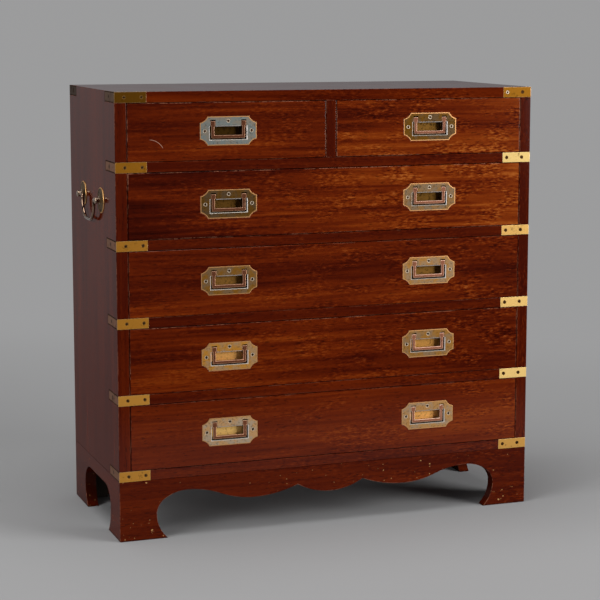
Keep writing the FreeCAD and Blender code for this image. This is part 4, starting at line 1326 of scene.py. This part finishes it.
# %% Hang one on each side
give(bar, HANDLE)
break_edges(bar, TIP_EDGE, steps=TIP_STEPS)
bar_right = twin(bar, "round_handle_right", (-2 * bar_x, 0, 0))
bar.name = "round_handle_left"
for piece, node in ((bar, "carry_handle_left"), (bar_right, "carry_handle_right")):
    stand_in(piece, node)
    print(piece.name, "has", len(piece.data.polygons), "faces")

# %% [markdown]
# ## Roses
#
# Each handle hangs on two roses: a round plate with a post in the middle, turned in one piece. The
# profile is drawn from the rim inwards. A disc is extruded and scaled from one pair of numbers to
# the next, which is what a lathe tool does, and then the post is bored for the bar. The bead round
# the rim is rubbed to gold, and the bar keeps the post bright.

# %% Turn one rose and post
ROSE = brass("brass_rose", (0.09, 0.055, 0.026), (0.030, 0.019, 0.010), 7.0, rough=0.30, cloud_size=0.015,
             metal=0.25, coat=0.1)
ROSE_RIM = brass("brass_rose_rim", (0.75, 0.42, 0.16), (0.30, 0.15, 0.05), 8.0, 0.4, 0.38, 0.006)
ROSE_POST = brass("brass_rose_post", (0.44, 0.33, 0.24), (0.14, 0.09, 0.06), 9.0, 0.4, 0.12, 0.006, 1.0)
PLAIN, BEAD, POST = range(3)
BEAD_WIDTH = 1.4 * MM
POST_REACH = 7.5 * MM
ROSE_SIDES = 48
# Radius and height in millimetres
ROSE_PROFILE = ((22.0, 0.9), (21.6, 1.4), (20.8, 1.6), (20.0, 1.5), (19.4, 1.2), (18.6, 1.3), (13.0, 2.4),
                (9.0, 3.1), (8.2, 3.2), (7.9, 3.7), (7.2, 4.0), (6.3, 4.0), (5.5, 4.3), (5.5, 10.6),
                (5.2, 11.4), (4.4, 12.1), (3.0, 12.4), (1.2, 12.5))
ROSE_RADIUS = ROSE_PROFILE[0][0] * MM

select_none()
bpy.ops.mesh.primitive_circle_add(vertices=ROSE_SIDES, radius=ROSE_RADIUS, fill_type="NGON")
rose = bpy.context.object
pick(rose, "FACE", lambda spot: True)
before, height = ROSE_PROFILE[0][0], 0
for radius, rise in ROSE_PROFILE:
    draw_out(0, 0, (rise - height) * MM)
    scale = radius / before
    bpy.ops.transform.resize(value=(scale, scale, 1), center_override=(0, 0, 0))
    before, height = radius, rise
turn_outwards()
give(rose, ROSE, ROSE_RIM, ROSE_POST)
for face in rose.data.polygons:
    from_axis = math.hypot(face.center.x, face.center.y)
    if from_axis < POST_REACH and face.center.z > MM:
        face.material_index = POST
    else:
        face.material_index = BEAD if from_axis > ROSE_RADIUS - BEAD_WIDTH else PLAIN
print("a rose stands", ROSE_PROFILE[-1][1], "mm off the side")

# %% Bore its post
BORE_GAP = 0.06 * MM
BORE_LENGTH = 20 * MM

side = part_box("side_left")[0].x
post_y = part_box("handle_roses")[1].y - ROSE_RADIUS
rose.data.transform(Matrix.Translation((side, post_y, pins)) @ Matrix.Rotation(-math.pi / 2, 4, "Y"))
select_none()
bpy.ops.mesh.primitive_cylinder_add(vertices=BAR_SIDES, radius=bar_radius + BORE_GAP, depth=BORE_LENGTH,
                                    location=(bar_x, post_y, pins), rotation=(math.pi / 2, 0, 0))
carve(rose, settle(bpy.context.object))
smooth(rose)
print("a rose has", len(rose.data.polygons), "faces")

# %% Set four of them, and clear the models away
rear_rose = twin(rose, "rear_rose", (0, -2 * post_y, 0))
pair = join([rose, rear_rose], "handle_roses_turned")
other = twin(pair, "other_roses", (0, 0, 0))
other.data.transform(Matrix.Rotation(math.pi, 4, "Z"))
roses = join([pair, other], "turned_roses")
stand_in(roses, "handle_roses")
for model in (strap_screw, strap_hole, plate_screw, plate_hole, first_plate, first_screws, first_bail):
    bpy.data.objects.remove(model)
print("roses at", [round(value / MM) for value in (-post_y, post_y)], "mm from the middle")

# %% Measure the dressed chest
low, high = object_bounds()
